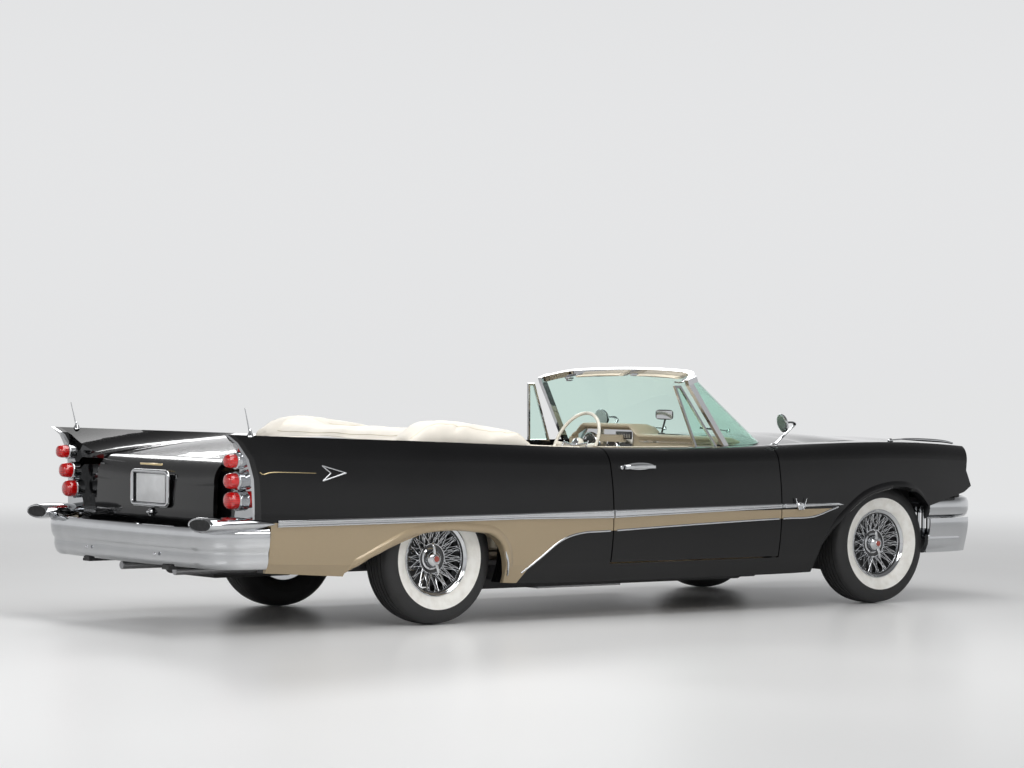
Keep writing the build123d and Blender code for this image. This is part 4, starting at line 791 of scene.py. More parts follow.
def makeSpear(side, label):
    for run, start, end, skins in spear["runs"]:
        rider = "body" if skins else f"door_{label}"
        names = skins or [f"door_{label}", f"door_fittings_{label}"]
        beads = []
        for kind, radius, drop in spear["beads"]:
            points = []
            for i in range(spear["count"]):
                s = start + (end - start) * i / (spear["count"] - 1)
                z = heightAt(spear[kind], s) + drop
                room = heightAt(spear["top"], s) - heightAt(spear["bottom"], s)
                if room < spear["narrow"] and kind == "bottom":
                    z = heightAt(spear["bottom"], s) + room * 0.25
                x = skinX(names, side, s, z, spear["skin"])
                points.append(Vector((x - side * radius * 0.25, at(s), z)))
            fade = (lambda v: min(1.0, 0.35 + v * 2.2)) if run == "wing" else None
            beads.append(tube(points, radius, 10, (0.75, 1.0), fade))
        finishBright(beads, f"spear_beads_{run}_{label}", rider, 50)
        # thin bright border of the gold sweep
        first, last = max(start, spear["borderStart"]), min(end, spear["borderEnd"])
        line = smoothLine([(0, s, z) for s, z in spear["border"]], 160)
        chosen = [p for p in line if first <= p.y <= last]
        if chosen:
            skin = spear["borderSkin"]
            points = [Vector((skinX(names[:1], side, p.y, p.z, skin), at(p.y), p.z)) for p in chosen]
            border = tube(points, spear["borderRadius"], 8, (0.7, 1.0))
            finishBright([border], f"sweep_border_{run}_{label}", rider, 60)


def makeStoneGuard(side, label):
    guard = [(skinX(["rear_quarters"], side, s, z, arch["skin"]), at(s), z) for s, z in spear["guard"]]
    bar = tube(smoothLine(guard, 12), spear["guardRadius"], 12, (0.45, 1.0),
               lambda v: 1.0 - 0.35 * abs(2 * v - 1) ** 3)
    finishBright([bar], f"stone_guard_{label}", "body", 50)


for side, label in sides:
    makeSpear(side, label)
    makeStoneGuard(side, label)
print("stage: side trims")

# Rear bumper with its pods
rearBumper = {
    "end": (0.986, 4.352), "bend": (0.964, 4.500), "corner": (0.878, 4.608), "innerCorner": (0.698, 4.650),
    "middle": (0.0, 4.686),
    # inward step and height of the section, from the top edge down
    "section": [(0.034, 0.546), (0.022, 0.552), (0.010, 0.549), (0.003, 0.538), (0.000, 0.518), (0.001, 0.490),
                (0.005, 0.462), (0.013, 0.440), (0.021, 0.430), (0.022, 0.415), (0.021, 0.395), (0.025, 0.372),
                (0.034, 0.352), (0.048, 0.340), (0.054, 0.344), (0.044, 0.360), (0.034, 0.380), (0.036, 0.540),
                (0.034, 0.546)],
    # rings of a pod: distance, middle across and up, half width and half height
    "pod": [(4.703, 0.865, 0.572, 0.113, 0.037), (4.690, 0.866, 0.572, 0.118, 0.041),
            (4.640, 0.869, 0.573, 0.121, 0.0445), (4.580, 0.874, 0.573, 0.118, 0.0450),
            (4.520, 0.893, 0.574, 0.100, 0.0415), (4.450, 0.923, 0.574, 0.074, 0.0340),
            (4.390, 0.953, 0.5745, 0.042, 0.0220), (4.345, 0.976, 0.575, 0.018, 0.0100),
            (4.326, 0.986, 0.575, 0.004, 0.003)],
    # the lip: distance and what it loses in half width and half height
    "lip": [(4.703, 0, 0), (4.705, 0.004, 0.003), (4.701, 0.010, 0.008)],
    # the mouth: distance and share of the lip's opening
    "mouth": [(4.701, 1), (4.675, 0.93), (4.648, 0.85), (4.645, 0.02)],
    "bolt": [(0.0, 0.0), (0.011, 0.0), (0.010, 0.004), (0.006, 0.006), (0.0, 0.0068)],
    "boltAt": (0.36, 4.670, 0.398), "podSteps": 40,
}


def planLine(shape, perArc=22, perLine=6):
    end, bend, corner, inner, middle = (shape[k] for k in ("end", "bend", "corner", "innerCorner", "middle"))
    shares = [i / perLine for i in range(perLine)]
    half = [(end[0] + (bend[0] - end[0]) * k, end[1] + (bend[1] - end[1]) * k) for k in shares]
    half += arc(bend, corner, inner, perArc)
    whole = arc(inner, middle, (-inner[0], inner[1]), 2 * perArc + 1)[1:-1]
    return half + whole + [(-x, s) for x, s in reversed(half)]


# The bumper's section carried along its line in plan: outward is -1 at the rear and 1 at the front
def bandPiece(shape, outward):
    line = planLine(shape)
    section = shape["section"]
    count = len(line)

    def place(u, v):
        i, k = round(v * (count - 1)), round(u * (len(section) - 1))
        a, b = line[max(i - 1, 0)], line[min(i + 1, count - 1)]
        heading = Vector((b[0] - a[0], b[1] - a[1], 0)).normalized()
        inward = Vector((heading.y, -heading.x, 0)) * outward
        spot = Vector((line[i][0], line[i][1], 0)) + inward * section[k][0]
        return Vector((spot.x, at(spot.y), section[k][1]))

    return closeEnds(gridSheet(len(section) - 1, count - 1, place))


def ovalSheet(side, rows):                    # rings of distance, middle across and up, and half sizes
    def place(u, v):
        distance, x, z, a, b = rows[round(v * (len(rows) - 1))]
        angle = wholeTurn * u
        return Vector((side * (x + a * math.cos(angle)), at(distance), z + b * math.sin(angle)))

    return gridSheet(rearBumper["podSteps"], len(rows) - 1, place)


def makePod(side):
    x, z, a, b = rearBumper["pod"][0][1:]
    outer = tidyShell(ovalSheet(side, rearBumper["pod"]))
    lip = tidyShell(ovalSheet(side, [(s, x, z, a - wide, b - high) for s, wide, high in rearBumper["lip"]]))
    wide, high = rearBumper["lip"][-1][1:]
    rows = [(s, x, z, (a - wide) * share, (b - high) * share) for s, share in rearBumper["mouth"]]
    return joined([outer, lip]), closeEnds(ovalSheet(side, rows))


def makeRearBumper():
    pieces, mouths = [bandPiece(rearBumper, -1)], []
    for side, label in sides:
        shell, mouth = makePod(side)
        pieces.append(shell)
        mouths.append(mouth)
    x, s, z = rearBumper["boltAt"]
    pieces += [lathe(rearBumper["bolt"], 20, (side * x, at(s), z), "Y") for side in (-1, 1)]
    bumper = tidyShell(joined(pieces))
    finishBright([bumper], "rear_bumper_bar", replaced=["rear_bumper"])
    finishPiece(joined(mouths), "pod_mouths", "rubber", "body", 40)


makeRearBumper()

# Front bumper
frontBumper = {
    "end": (0.945, -0.335), "bend": (0.928, -0.600), "corner": (0.800, -0.790), "innerCorner": (0.550, -0.868),
    "middle": (0.0, -0.904),
    "section": [(0.052, 0.610), (0.030, 0.622), (0.012, 0.614), (0.002, 0.594), (0.000, 0.566), (0.003, 0.540),
                (0.012, 0.516), (0.026, 0.502), (0.050, 0.498), (0.056, 0.520), (0.052, 0.610)],
}
lowerBar = {
    "end": (0.938, -0.335), "bend": (0.915, -0.600), "corner": (0.788, -0.772), "innerCorner": (0.545, -0.846),
    "middle": (0.0, -0.880),
    "section": [(0.030, 0.404), (0.006, 0.400), (0.000, 0.385), (0.008, 0.350), (0.022, 0.318), (0.040, 0.296),
                (0.060, 0.292), (0.062, 0.300), (0.040, 0.330), (0.030, 0.404)],
}
bumperEnd = {
    "line": [(0.941, -0.337), (0.934, -0.440), (0.922, -0.600), (0.905, -0.655), (0.880, -0.705)],
    # height and inward step, from the top down
    "section": [(0.500, 0.004), (0.480, 0.002), (0.450, 0.004), (0.420, 0.009), (0.390, 0.016), (0.345, 0.028),
                (0.298, 0.042)],
    "steps": 24, "thickness": 0.008,
}


def makeBumperEnd(side):
    steps, section = bumperEnd["steps"], bumperEnd["section"]
    line = smoothLine([(x, s, 0) for x, s in bumperEnd["line"]], steps + 1)

    def place(u, v):
        spot = line[round(v * steps)]
        height, inward = section[round(u * (len(section) - 1))]
        return Vector((side * (spot.x - inward), at(spot.y), height))

    return tidyShell(thickened(gridSheet(len(section) - 1, steps, place), bumperEnd["thickness"], 1))


def makeFrontBumper():
    bars = [bandPiece(frontBumper, 1), bandPiece(lowerBar, 1)]
    ends = [makeBumperEnd(side) for side, label in sides]
    finishBright(bars + ends, "front_bumper_bars", replaced=["front_bumper"])


makeFrontBumper()
print("stage: bumpers")

# Lamps, plate and small bright parts
lamp = {
    "places": [(0.885, 4.566, 0.900, 0.036), (0.870, 4.552, 0.796, 0.041), (0.854, 4.539, 0.695, 0.046)],
    # share of the lens radius and distance from its front
    "lens": [(0.0, -0.085), (0.985, -0.085), (0.995, -0.062), (1.0, -0.038), (0.975, -0.024), (0.90, -0.012),
             (0.76, -0.004), (0.50, 0.0), (0.0, 0.0012)],
    # share of the lens radius, step outside it and the same distance
    "ring": [(1, 0.001, -0.076), (1, 0.006, -0.074), (1, 0.0085, -0.067), (1, 0.007, -0.060),
             (1, 0.0008, -0.057), (0.9, 0, -0.066), (1, 0.001, -0.076)],
}


def makeTailLamps():
    lenses, rings = [], []
    for side, label in sides:
        for x, s, z, r in lamp["places"]:
            spot = (side * x, at(s), z)
            lenses.append(lathe([(r * share, y) for share, y in lamp["lens"]], 40, spot, "Y"))
            rings.append(lathe([(r * share + out, y) for share, out, y in lamp["ring"]], 40, spot, "Y"))
    finishPiece(joined(lenses), "tail_lenses", "red", "body", 40, ["tail_lamps"])
    finishBright(rings, "tail_lamp_rings")


plate = {
    "ring": (0.188, 0.090, 0.026), "ringOut": 0.013, "ringRadius": 0.0115,
    "edge": (0.146, 0.070, 0.010), "edgeOut": 0.0103, "edgeRadius": 0.0016,
    "knob": [(0.0, 0.0), (0.022, 0.0), (0.022, 0.008), (0.016, 0.014), (0.009, 0.017), (0.009, 0.024),
             (0.006, 0.028), (0.0, 0.029)],
    "knobDrop": 0.128,
    # half width, low, high, inner and outer face and rounding, from the middle of the plate
    "bar": (0.115, 0.122, 0.134, 0.001, 0.010, 0.003), "back": (0.186, -0.088, 0.088, 0.001, 0.006, 0.002),
    "face": (0.152, -0.076, 0.076, 0.007, 0.010, 0.001),
}


def roundedLoop(size, steps, y, z):           # points round a rectangle with round corners
    wide, high, corner = size
    points = []
    for index, (x, up) in enumerate(((1, 1), (-1, 1), (-1, -1), (1, -1))):
        for k in range(steps + 1):
            a = math.pi / 2 * (index + k / steps)
            points.append(Vector((x * (wide - corner) + corner * math.cos(a), y,
                                  z + up * (high - corner) + corner * math.sin(a))))
    return points


def makePlate():
    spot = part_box("plate_holder")
    y, z = spot[0].y, (spot[0].z + spot[1].z) / 2

    def loop(size, steps, out, radius, around):
        points = roundedLoop(size, steps, y + out, z)
        return tube(points, radius, around, closed=True, hold=(0, 1, 0))

    def sheet(kind):
        half, low, high, inner, outer, edge = plate[kind]
        return slab((-half, y + inner, z + low), (half, y + outer, z + high), edge)

    ring = loop(plate["ring"], 6, plate["ringOut"], plate["ringRadius"], 10)
    knob = lathe(plate["knob"], 32, (0, y + 0.004, z - plate["knobDrop"]), "Y")
    finishBright([ring, knob], "plate_ring", "boot_lid", 40, ["plate_holder"])
    finishPiece(sheet("bar"), "boot_bar", "brass", "boot_lid", 40)
    finishPiece(sheet("back"), "plate_recess", "dial", "boot_lid", 40)
    face = sheet("face")
    edge = loop(plate["edge"], 4, plate["edgeOut"], plate["edgeRadius"], 6)
    finishPiece(joined([face, edge]), "plate_blank", "plate", "boot_lid", 40)


fitting = {
    "mirror": [(0.0, -0.013), (0.040, -0.010), (0.052, -0.002), (0.055, 0.006), (0.054, 0.0105),
               (0.050, 0.012), (0.0, 0.0125)],
    "mirrorFace": [(0.0, 0.0128), (0.047, 0.0122), (0.047, 0.0132), (0.0, 0.0138)],
    "mirrorAt": (0.851, 0.752, 1.076), "mirrorLean": -14, "mirrorTurn": 10,
    # places on the left side: across, distance and height
    "stem": [(0.800, 0.775, 0.948), (0.808, 0.738, 0.982), (0.822, 0.672, 1.040), (0.834, 0.650, 1.064),
             (0.842, 0.672, 1.078), (0.850, 0.742, 1.077)],
    "dart": [(0.812, -0.640, 0.945), (0.812, -0.560, 0.957), (0.812, -0.40, 0.967), (0.812, -0.24, 0.973),
             (0.812, -0.155, 0.970)],
    "aerial": [(0.911, 4.432, 1.034), (0.914, 4.466, 1.170)],
    # profile, steps, place and axis of the round parts
    "round": [([(0.0, 0.0), (0.026, 0.0), (0.024, 0.006), (0.014, 0.012), (0.0, 0.014)], 28,
               (0.802, 0.776, 0.944), "Z"),
              ([(0.0, -0.022), (0.008, -0.018), (0.013, -0.004), (0.010, 0.012), (0.0, 0.022)], 20,
               (0.812, -0.128, 0.966), "Y"),
              ([(0.0, 0.0), (0.019, 0.0), (0.017, 0.010), (0.008, 0.026), (0.0055, 0.040), (0.0, 0.041)], 24,
               (0.911, 4.431, 1.024), "Z"),
              ([(0.0, -0.004), (0.0035, 0.0), (0.0, 0.004)], 12, (0.914, 4.466, 1.169), "Z")],
}
handle = {
    "button": [(0.0, 0.0), (0.012, 0.0), (0.012, 0.008), (0.008, 0.011), (0.0, 0.0115)],
    # step out from the door's skin, distance and height
    "grip": [(-0.004, 1.818, 0.836), (0.020, 1.842, 0.840), (0.026, 1.905, 0.842), (0.026, 1.960, 0.841),
             (0.012, 2.000, 0.838), (-0.006, 2.012, 0.837)],
    "height": 0.838, "cupAt": 1.905, "cupHalf": (0.105, 0.024), "buttonAt": 2.036, "probeAt": 1.915,
    "skin": 0.965,
}


def makeSideFittings():
    for side, label in sides:
        def there(spot):
            return (side * spot[0], at(spot[1]), spot[2])

        def onMirror(kind, steps):
            piece = lathe(fitting[kind], steps, (0, 0, 0), "Y")
            turn = Matrix.Rotation(math.radians(fitting["mirrorLean"]), 4, "X")
            turn = turn @ Matrix.Rotation(math.radians(side * fitting["mirrorTurn"]), 4, "Z")
            piece.data.transform(Matrix.Translation(there(fitting["mirrorAt"])) @ turn)
            return piece

        stem = tube(smoothLine([there(p) for p in fitting["stem"]], 26), 0.0085, 10, (1.3, 0.8),
                    lambda v: 1.15 - 0.3 * v)
        dart = tube(smoothLine([there(p) for p in fitting["dart"]], 24), 0.0125, 12, (1.0, 0.8),
                    lambda v: 0.35 + 0.65 * math.sin(math.pi * min(1, v * 1.1 + 0.05)) ** 0.6)
        low, high = (Vector(there(p)) for p in fitting["aerial"])
        aerial = tube([low.lerp(high, k / 8) for k in range(9)], 0.0042, 8, taper=lambda v: 1.0 - 0.5 * v)
        bright = [onMirror("mirror", 48), stem, dart, aerial]
        bright += [lathe(profile, steps, there(spot), axis) for profile, steps, spot, axis in fitting["round"]]
        finishBright(bright, f"wing_bright_{label}", replaced=["wing_fittings"] if side > 0 else [])
        finishPiece(onMirror("mirrorFace", 40), f"mirror_face_{label}", "satin", "body", 40)


def makeHandles():
    for side, label in sides:
        base = skinX([f"door_{label}"], side, handle["probeAt"], handle["height"], handle["skin"])
        wide, high = handle["cupHalf"]
        line = [(base + side * out, at(s), z) for out, s, z in handle["grip"]]
        grip = tube(smoothLine(line, 26), 0.0125, 12, (0.55, 1.0))

        def place(u, v):
            out, angle = 0.001 + 0.005 * math.cos(v * math.pi / 2), wholeTurn * u
            return Vector((base + side * out, at(handle["cupAt"]) + wide * v * math.cos(angle),
                           handle["height"] + high * v * math.sin(angle)))

        cup = tidyShell(gridSheet(24, 5, place))
        spot = (base + side * 0.001, at(handle["buttonAt"]), handle["height"])
        button = lathe(handle["button"], 24, spot, "X" if side > 0 else "-X")
        finishBright([grip, cup, button], f"door_handle_{label}", f"door_{label}")


makeTailLamps()
makePlate()
makeSideFittings()
makeHandles()
print("stage: lamps and bright parts")

# Seats, side rests and the cover over the folded top
soft = {
    "voxel": 0.013, "coverVoxel": 0.010, "frames": 20, "fill": 0.75, "restFill": 0.7, "coverFill": 0.4,
    "pleat": 0.058, "pleatWidth": 0.0055, "pleatDepth": 0.007, "pleatCrown": 0.0035, "pleatEnds": 0.02,
    "facing": 0.45, "cord": 0.0042, "seam": 0.0034,
    "frontHalf": 0.698, "baseHalf": 0.690, "rearHalf": 0.560, "tunnelHalf": 0.156, "tunnelTop": 0.425,
    "clearance": 0.428, "restSpan": (0.612, 0.796), "barHalf": 0.640, "armSpan": (0.614, 0.786),
    # outlines as distance behind the front axle and height
    "frontCushion": [(1.516, 0.345), (1.512, 0.500), (1.532, 0.548), (1.585, 0.562), (1.800, 0.546),
                     (1.985, 0.528), (1.988, 0.350)],
    "frontBack": [(2.006, 0.500), (2.020, 0.640), (2.052, 0.900), (2.066, 0.945), (2.100, 0.962),
                  (2.150, 0.950), (2.172, 0.905), (2.186, 0.640), (2.150, 0.400), (2.012, 0.400)],
    "frontBase": [(1.530, 0.254), (1.530, 0.335), (1.990, 0.335), (2.130, 0.390), (2.140, 0.254)],
    "rearBase": [(2.450, 0.402), (2.450, 0.440), (2.760, 0.440), (2.868, 0.565), (2.820, 0.540),
                 (2.800, 0.402)],
    "rearCushion": [(2.444, 0.425), (2.440, 0.535), (2.458, 0.575), (2.500, 0.588), (2.735, 0.560),
                    (2.738, 0.425)],
    "rearBack": [(2.752, 0.530), (2.806, 0.885), (2.826, 0.912), (2.850, 0.912), (2.866, 0.890),
                 (2.870, 0.580), (2.800, 0.500)],
    "rest": [(2.440, 0.392), (2.438, 0.880), (2.460, 0.896), (2.780, 0.896), (2.796, 0.880), (2.796, 0.392)],
    "coverBar": [(2.925, 0.936), (2.915, 1.010), (2.985, 1.034), (3.190, 1.034), (3.300, 1.020),
                 (3.352, 0.992), (3.362, 0.936)],
    "coverArm": [(2.512, 0.936), (2.508, 0.956), (2.606, 1.030), (2.860, 1.060), (3.080, 1.086),
                 (3.160, 1.088), (3.230, 1.068), (3.352, 0.998), (3.362, 0.936)],
    # seams along the cover's arms: across, first and last distance
    "armSeams": [(0.772, 2.530, 3.330), (0.636, 2.530, 2.930)], "barSeams": [("rear", 3.300), ("front", 2.960)],
    "sagFrom": 0.98, "sag": 0.0045, "sagRange": 0.04,
    "stud": [(0.0, 0.0), (0.0075, 0.0), (0.0065, 0.0026), (0.003, 0.004), (0.0, 0.0042)],
    "studs": 15, "studStart": -0.595, "studStep": 0.085, "studHeight": 0.968,
}


def prism(outline, low, high, edge, segments=3):          # this side profile between two planes across the car
    count = len(outline)

    def place(u, v):
        distance, height = outline[round(u * count) % count]
        return Vector((low + (high - low) * round(v), at(distance), height))

    piece = closeEnds(gridSheet(count, 1, place))
    rounded(piece, edge, segments)
    return piece


def remesh(piece, voxel):
    makeActive(piece)
    piece.modifiers.new("grid", "REMESH").mode = "VOXEL"
    piece.modifiers["grid"].voxel_size = voxel
    piece.modifiers.new("ease", "SMOOTH").iterations = 3
    applyModifiers(piece)
    return piece


def inflate(piece, pressure, cap, held):      # blow the pad up as cloth: held says where it rests on something
    makeActive(piece)
    rest = [vertex.co.copy() for vertex in piece.data.vertices]
    pins = piece.vertex_groups.new(name="held")
    pins.add([i for i, spot in enumerate(rest) if held(spot)], 1.0, "REPLACE")
    cloth = piece.modifiers.new("swell", "CLOTH")
    settings = cloth.settings
    settings.quality = 4
    settings.mass = 0.3
    settings.tension_stiffness = settings.compression_stiffness = 12
    settings.shear_stiffness = 6
    settings.bending_stiffness = 0.6
    settings.use_pressure = True
    settings.uniform_pressure_force = pressure
    settings.vertex_group_mass = "held"
    settings.effector_weights.gravity = 0
    cloth.collision_settings.use_collision = False
    cloth.point_cache.frame_end = soft["frames"]
    for frameNumber in range(1, soft["frames"] + 1):
        scene.frame_set(frameNumber)
    bpy.ops.object.modifier_apply(modifier=cloth.name)
    scene.frame_set(1)
    for vertex, start in zip(piece.data.vertices, rest):
        move = vertex.co - start
        if move.length > cap:
            vertex.co = start + move.normalized() * cap
    piece.vertex_groups.clear()


def refine(piece):
    makeActive(piece)
    piece.modifiers.new("fine", "SUBSURF").levels = 1
    applyModifiers(piece)


# Sewn channels across the pad where it faces this way, between low and high along the axis
def pleated(piece, middle, reach, facing, low, high, axis):
    piece.data.update()
    normals = [vertex.normal.copy() for vertex in piece.data.vertices]
    pleat, ends = soft["pleat"], soft["pleatEnds"]
    for vertex, normal in zip(piece.data.vertices, normals):
        along = vertex.co[axis]
        across = vertex.co.x - middle
        if abs(across) < reach and normal.dot(Vector(facing)) > soft["facing"] and low < along < high:
            near = abs((across / pleat + 0.5) % 1 - 0.5) * pleat
            share = min(1.0, (along - low) / ends, (high - along) / ends)
            crown = soft["pleatCrown"] * (1 - math.cos(math.pi * near / pleat))
            seam = soft["pleatDepth"] * math.exp(-(near / soft["pleatWidth"]) ** 2)
            vertex.co -= normal * (crown + seam) * share


def between(first, last, count):              # points at equal steps from one place to the other
    return [Vector(first).lerp(Vector(last), k / count) for k in range(count + 1)]


# Where rays through these points, from start along the direction, meet the piece
def onSkin(piece, points, start, direction, sink=0.0):
    spots = []
    for point in points:
        hit, spot, normal, index = piece.ray_cast(Vector(point) + Vector(start), Vector(direction))
        if hit:
            spots.append(spot - normal * sink)
    return spots


def piping(pad, points, start, direction, name, radius=soft["cord"]):
    spots = onSkin(pad, points, start, direction, radius * 0.25)
    if len(spots) > 3:
        cord = tube(smoothLine(spots, len(spots)), radius, 8)
        finishPiece(cord, name, "piping", "body", 60)


def makePad(name, kind, span, edge, push, held, pleats=None, replaced=()):
    pad = remesh(prism(soft[kind], *span, edge, 4), soft["voxel"])
    inflate(pad, *push, held)
    refine(pad)
    if pleats:
        pleated(pad, *pleats)
    if kind == "frontCushion":                # the pad rests on the tunnel
        for vertex in pad.data.vertices:
            if abs(vertex.co.x) < soft["tunnelHalf"]:
                vertex.co.z = max(vertex.co.z, soft["clearance"])
    finishPiece(pad, name, "hide", "body", 60, replaced)
    return pad


def makeSeatBase(row, half, edge, start, end):            # the base stands over the tunnel
    base = prism(soft[f"{row}Base"], -half, half, edge)
    wide = soft["tunnelHalf"]
    block = slab((-wide, at(start), 0.20), (wide, at(end), soft["tunnelTop"]), 0)
    base.modifiers.new("tunnel", "BOOLEAN").object = block
    applyModifiers(base)
    bpy.data.objects.remove(block)
    finishPiece(base, f"{row}_seat_base", "hideDark", "body", 30, [f"{row}_seat"])


def makeFrontSeat():
    half = soft["frontHalf"]
    makeSeatBase("front", soft["baseHalf"], 0.012, 1.4, 2.3)
    cushion = makePad("front_cushion", "frontCushion", (-half, half), 0.030, (4.0, 0.020),
                      lambda p: p.z < 0.40 or p.y > at(1.972),
                      (0.0, 0.58, (0, -0.2, 1), at(1.555), at(1.955), 1))
    for index, x in enumerate((-0.610, 0.610)):
        line = between((x, at(1.515), 0), (x, at(1.965), 0), 30)
        piping(cushion, line, (0, 0, 1.2), down, f"front_cushion_cord_{index}")
    for side, label in sides:
        low, high = sorted((side * 0.006, side * half))
        pad = makePad(f"front_back_{label}", "frontBack", (low, high), 0.026, (4.0, 0.016),
                      lambda p: p.z < 0.46 or p.y > at(2.168) and p.z < 0.86,
                      (side * 0.352, 0.262, (0, -1, 0.1), 0.56, 0.900, 2))
        line = between((low + 0.035, 0, 0.908), (high - 0.035, 0, 0.908), 40)
        piping(pad, line, (0, at(1.7), 0), rearward, f"front_back_cord_{label}")


def makeRearSeat():
    half = soft["rearHalf"]
    makeSeatBase("rear", half, 0.006, 2.3, 3.0)
    makePad("rear_cushion", "rearCushion", (-half, half), 0.030, (4.0, 0.016),
            lambda p: p.z < 0.46 or p.y > at(2.722), (0.0, 0.47, (0, -0.2, 1), at(2.480), at(2.715), 1))
    pad = makePad("rear_back", "rearBack", (-half, half), 0.020, (4.0, 0.012),
                  lambda p: p.z < 0.56 or p.y > at(2.862), (0.0, 0.47, (0, -1, 0.2), 0.625, 0.868, 2))
    piping(pad, between((-0.52, 0, 0.876), (0.52, 0, 0.876), 50), (0, at(2.5), 0), rearward, "rear_back_cord")
    for side, label in sides:
        rest = makePad(f"rear_rest_{label}", "rest", sorted(side * x for x in soft["restSpan"]), 0.022,
                       (3.0, 0.010), lambda p: p.z < 0.42 or abs(p.x) > 0.785 or p.y > at(2.785),
                       replaced=["rear_side_trims"] if side > 0 else [])
        line = [(side * (0.630 + 0.006 * math.sin(k)), at(2.455 + 0.325 * k / 24), 0) for k in range(25)]
        piping(rest, line, (0, 0, 1.4), down, f"rear_rest_cord_{label}")


def sagged(cover):                            # the folded bows below make it sag between them
    for vertex in cover.data.vertices:
        x, y, z = vertex.co
        if z > soft["sagFrom"]:
            along = math.sin((y - at(2.50)) * 21.0 + 2.2 * math.cos(x * 4.1))
            wave = 0.5 * along + 0.5 * math.sin(x * 17.0 + 1.3)
            vertex.co.z += soft["sag"] * wave * min(1.0, (z - soft["sagFrom"]) / soft["sagRange"])


def makeTopCover():
    parts = [prism(soft["coverBar"], -soft["barHalf"], soft["barHalf"], 0.020)]
    for side, label in sides:
        parts.append(prism(soft["coverArm"], *sorted(side * x for x in soft["armSpan"]), 0.022))
    cover = remesh(joined([remesh(part, soft["coverVoxel"]) for part in parts]), soft["voxel"])
    cover.modifiers.new("ease", "SMOOTH").iterations = 6
    applyModifiers(cover)
    sagged(cover)
    inflate(cover, 3.5, 0.015, lambda p: p.z < 0.955)
    refine(cover)
    finishPiece(cover, "top_cover_cloth", "cover", "body", 60, ["top_cover"])
    above = (0, 0, 1.6)
    for side, label in sides:
        for index, (x, first, last) in enumerate(soft["armSeams"]):
            line = between((side * x, at(first), 0), (side * x, at(last), 0), 48)
            piping(cover, line, above, down, f"cover_seam_{label}_{index}", soft["seam"])
    for kind, distance in soft["barSeams"]:
        line = between((-0.60, at(distance), 0), (0.60, at(distance), 0), 60)
        piping(cover, line, above, down, f"cover_seam_{kind}", soft["seam"])
    places = [(soft["studStart"] + soft["studStep"] * k, 0, soft["studHeight"]) for k in range(soft["studs"])]
    spots = onSkin(cover, places, (0, at(3.7), 0), (0, -1, 0))
    finishBright([lathe(soft["stud"], 16, spot, "Y") for spot in spots], "cover_studs")


makeFrontSeat()
print("stage: front seat")
makeRearSeat()
print("stage: rear seat")
makeTopCover()
print("stage: top cover")

# Dashboard with its hood, dials and mirror
dash = {
    "half": 0.664, "humpLow": 0.100, "humpHigh": 0.520, "humpTop": 1.052, "top": 0.994, "foot": 0.9565,
    "faceSide": 1.128, "faceMiddle": 1.090, "faceHalf": 0.70, "out": 0.010,
    # across, height and radius
    "dials": [(0.300, 0.905, 0.050), (0.500, 0.918, 0.070)],
    # low and high across, foot and head, and how far it stands out
    "sheets": [(0.112, 0.608, 0.826, 1.014, 0.010), (-0.640, 0.060, 0.826, 0.842, 0.006),
               (-0.640, 0.060, 0.944, 0.9545, 0.006)],
    "knob": [(0.0, 0.0), (0.012, 0.0), (0.010, 0.014), (0.012, 0.018), (0.011, 0.024), (0.0, 0.026)],
    "smallKnob": [(0.0, 0.0), (0.009, 0.0), (0.008, 0.014), (0.010, 0.017), (0.0, 0.020)],
    # kind, steps, height and places across
    "knobs": [("knob", 24, 0.862, (0.135, 0.245)), ("smallKnob", 20, 0.842, (0.350, 0.410, 0.585))],
    "buttons": 5, "marks": 13, "scale": 9, "windowAt": 0.18,
    # step outside the dial's radius and distance from the face
    "bezel": [(-0.004, -0.002), (0.005, 0.0), (0.007, 0.006), (0.004, 0.011), (-0.001, 0.011),
              (-0.004, 0.004), (-0.004, -0.002)],
    # low and high across, foot and head of the dark windows
    "windows": [(0.124, 0.272, 0.958, 1.004), (0.124, 0.232, 0.884, 0.930)],
}
dashMirror = {
    "foot": [(0.0, 0.0), (0.024, 0.0), (0.021, 0.008), (0.0, 0.012)],
    "stem": [(0.020, 0.955, 0.992), (0.008, 0.950, 1.040), (0.0, 0.938, 1.100)],
    "half": (0.084, 0.030), "round": 0.45, "shrink": 0.35, "depth": 0.022, "at": (0.950, 1.108),
}


def dashFace(x):
    return dash["faceMiddle"] + (dash["faceSide"] - dash["faceMiddle"]) * (x / dash["faceHalf"]) ** 2


def dashSection(x):
    low, high = dash["humpLow"], dash["humpHigh"]
    rise = easeStep(x, low - 0.045, low + 0.012) * (1 - easeStep(x, high, high + 0.135))
    top = dash["top"] + (dash["humpTop"] - dash["top"]) * rise
    face, lip, foot = dashFace(x), dashFace(x) + 0.020 + 0.030 * rise, dash["foot"]
    rear = face - 0.215
    tall = top - foot
    return [(rear, foot), (rear + 0.020, foot + tall * 0.42), (rear + 0.060, foot + tall * 0.80),
            (rear + 0.120, top - 0.003), (face - 0.020, top), (lip - 0.012, top - 0.001),
            (lip - 0.003, top - 0.006), (lip, top - 0.014), (lip - 0.004, top - 0.022),
            (lip - 0.012, top - 0.026), (face + 0.012 - 0.012 * rise, top - 0.028),
            (face + 0.004, top - 0.034 - 0.004 * rise), (face + 0.003, foot), (rear, foot)]


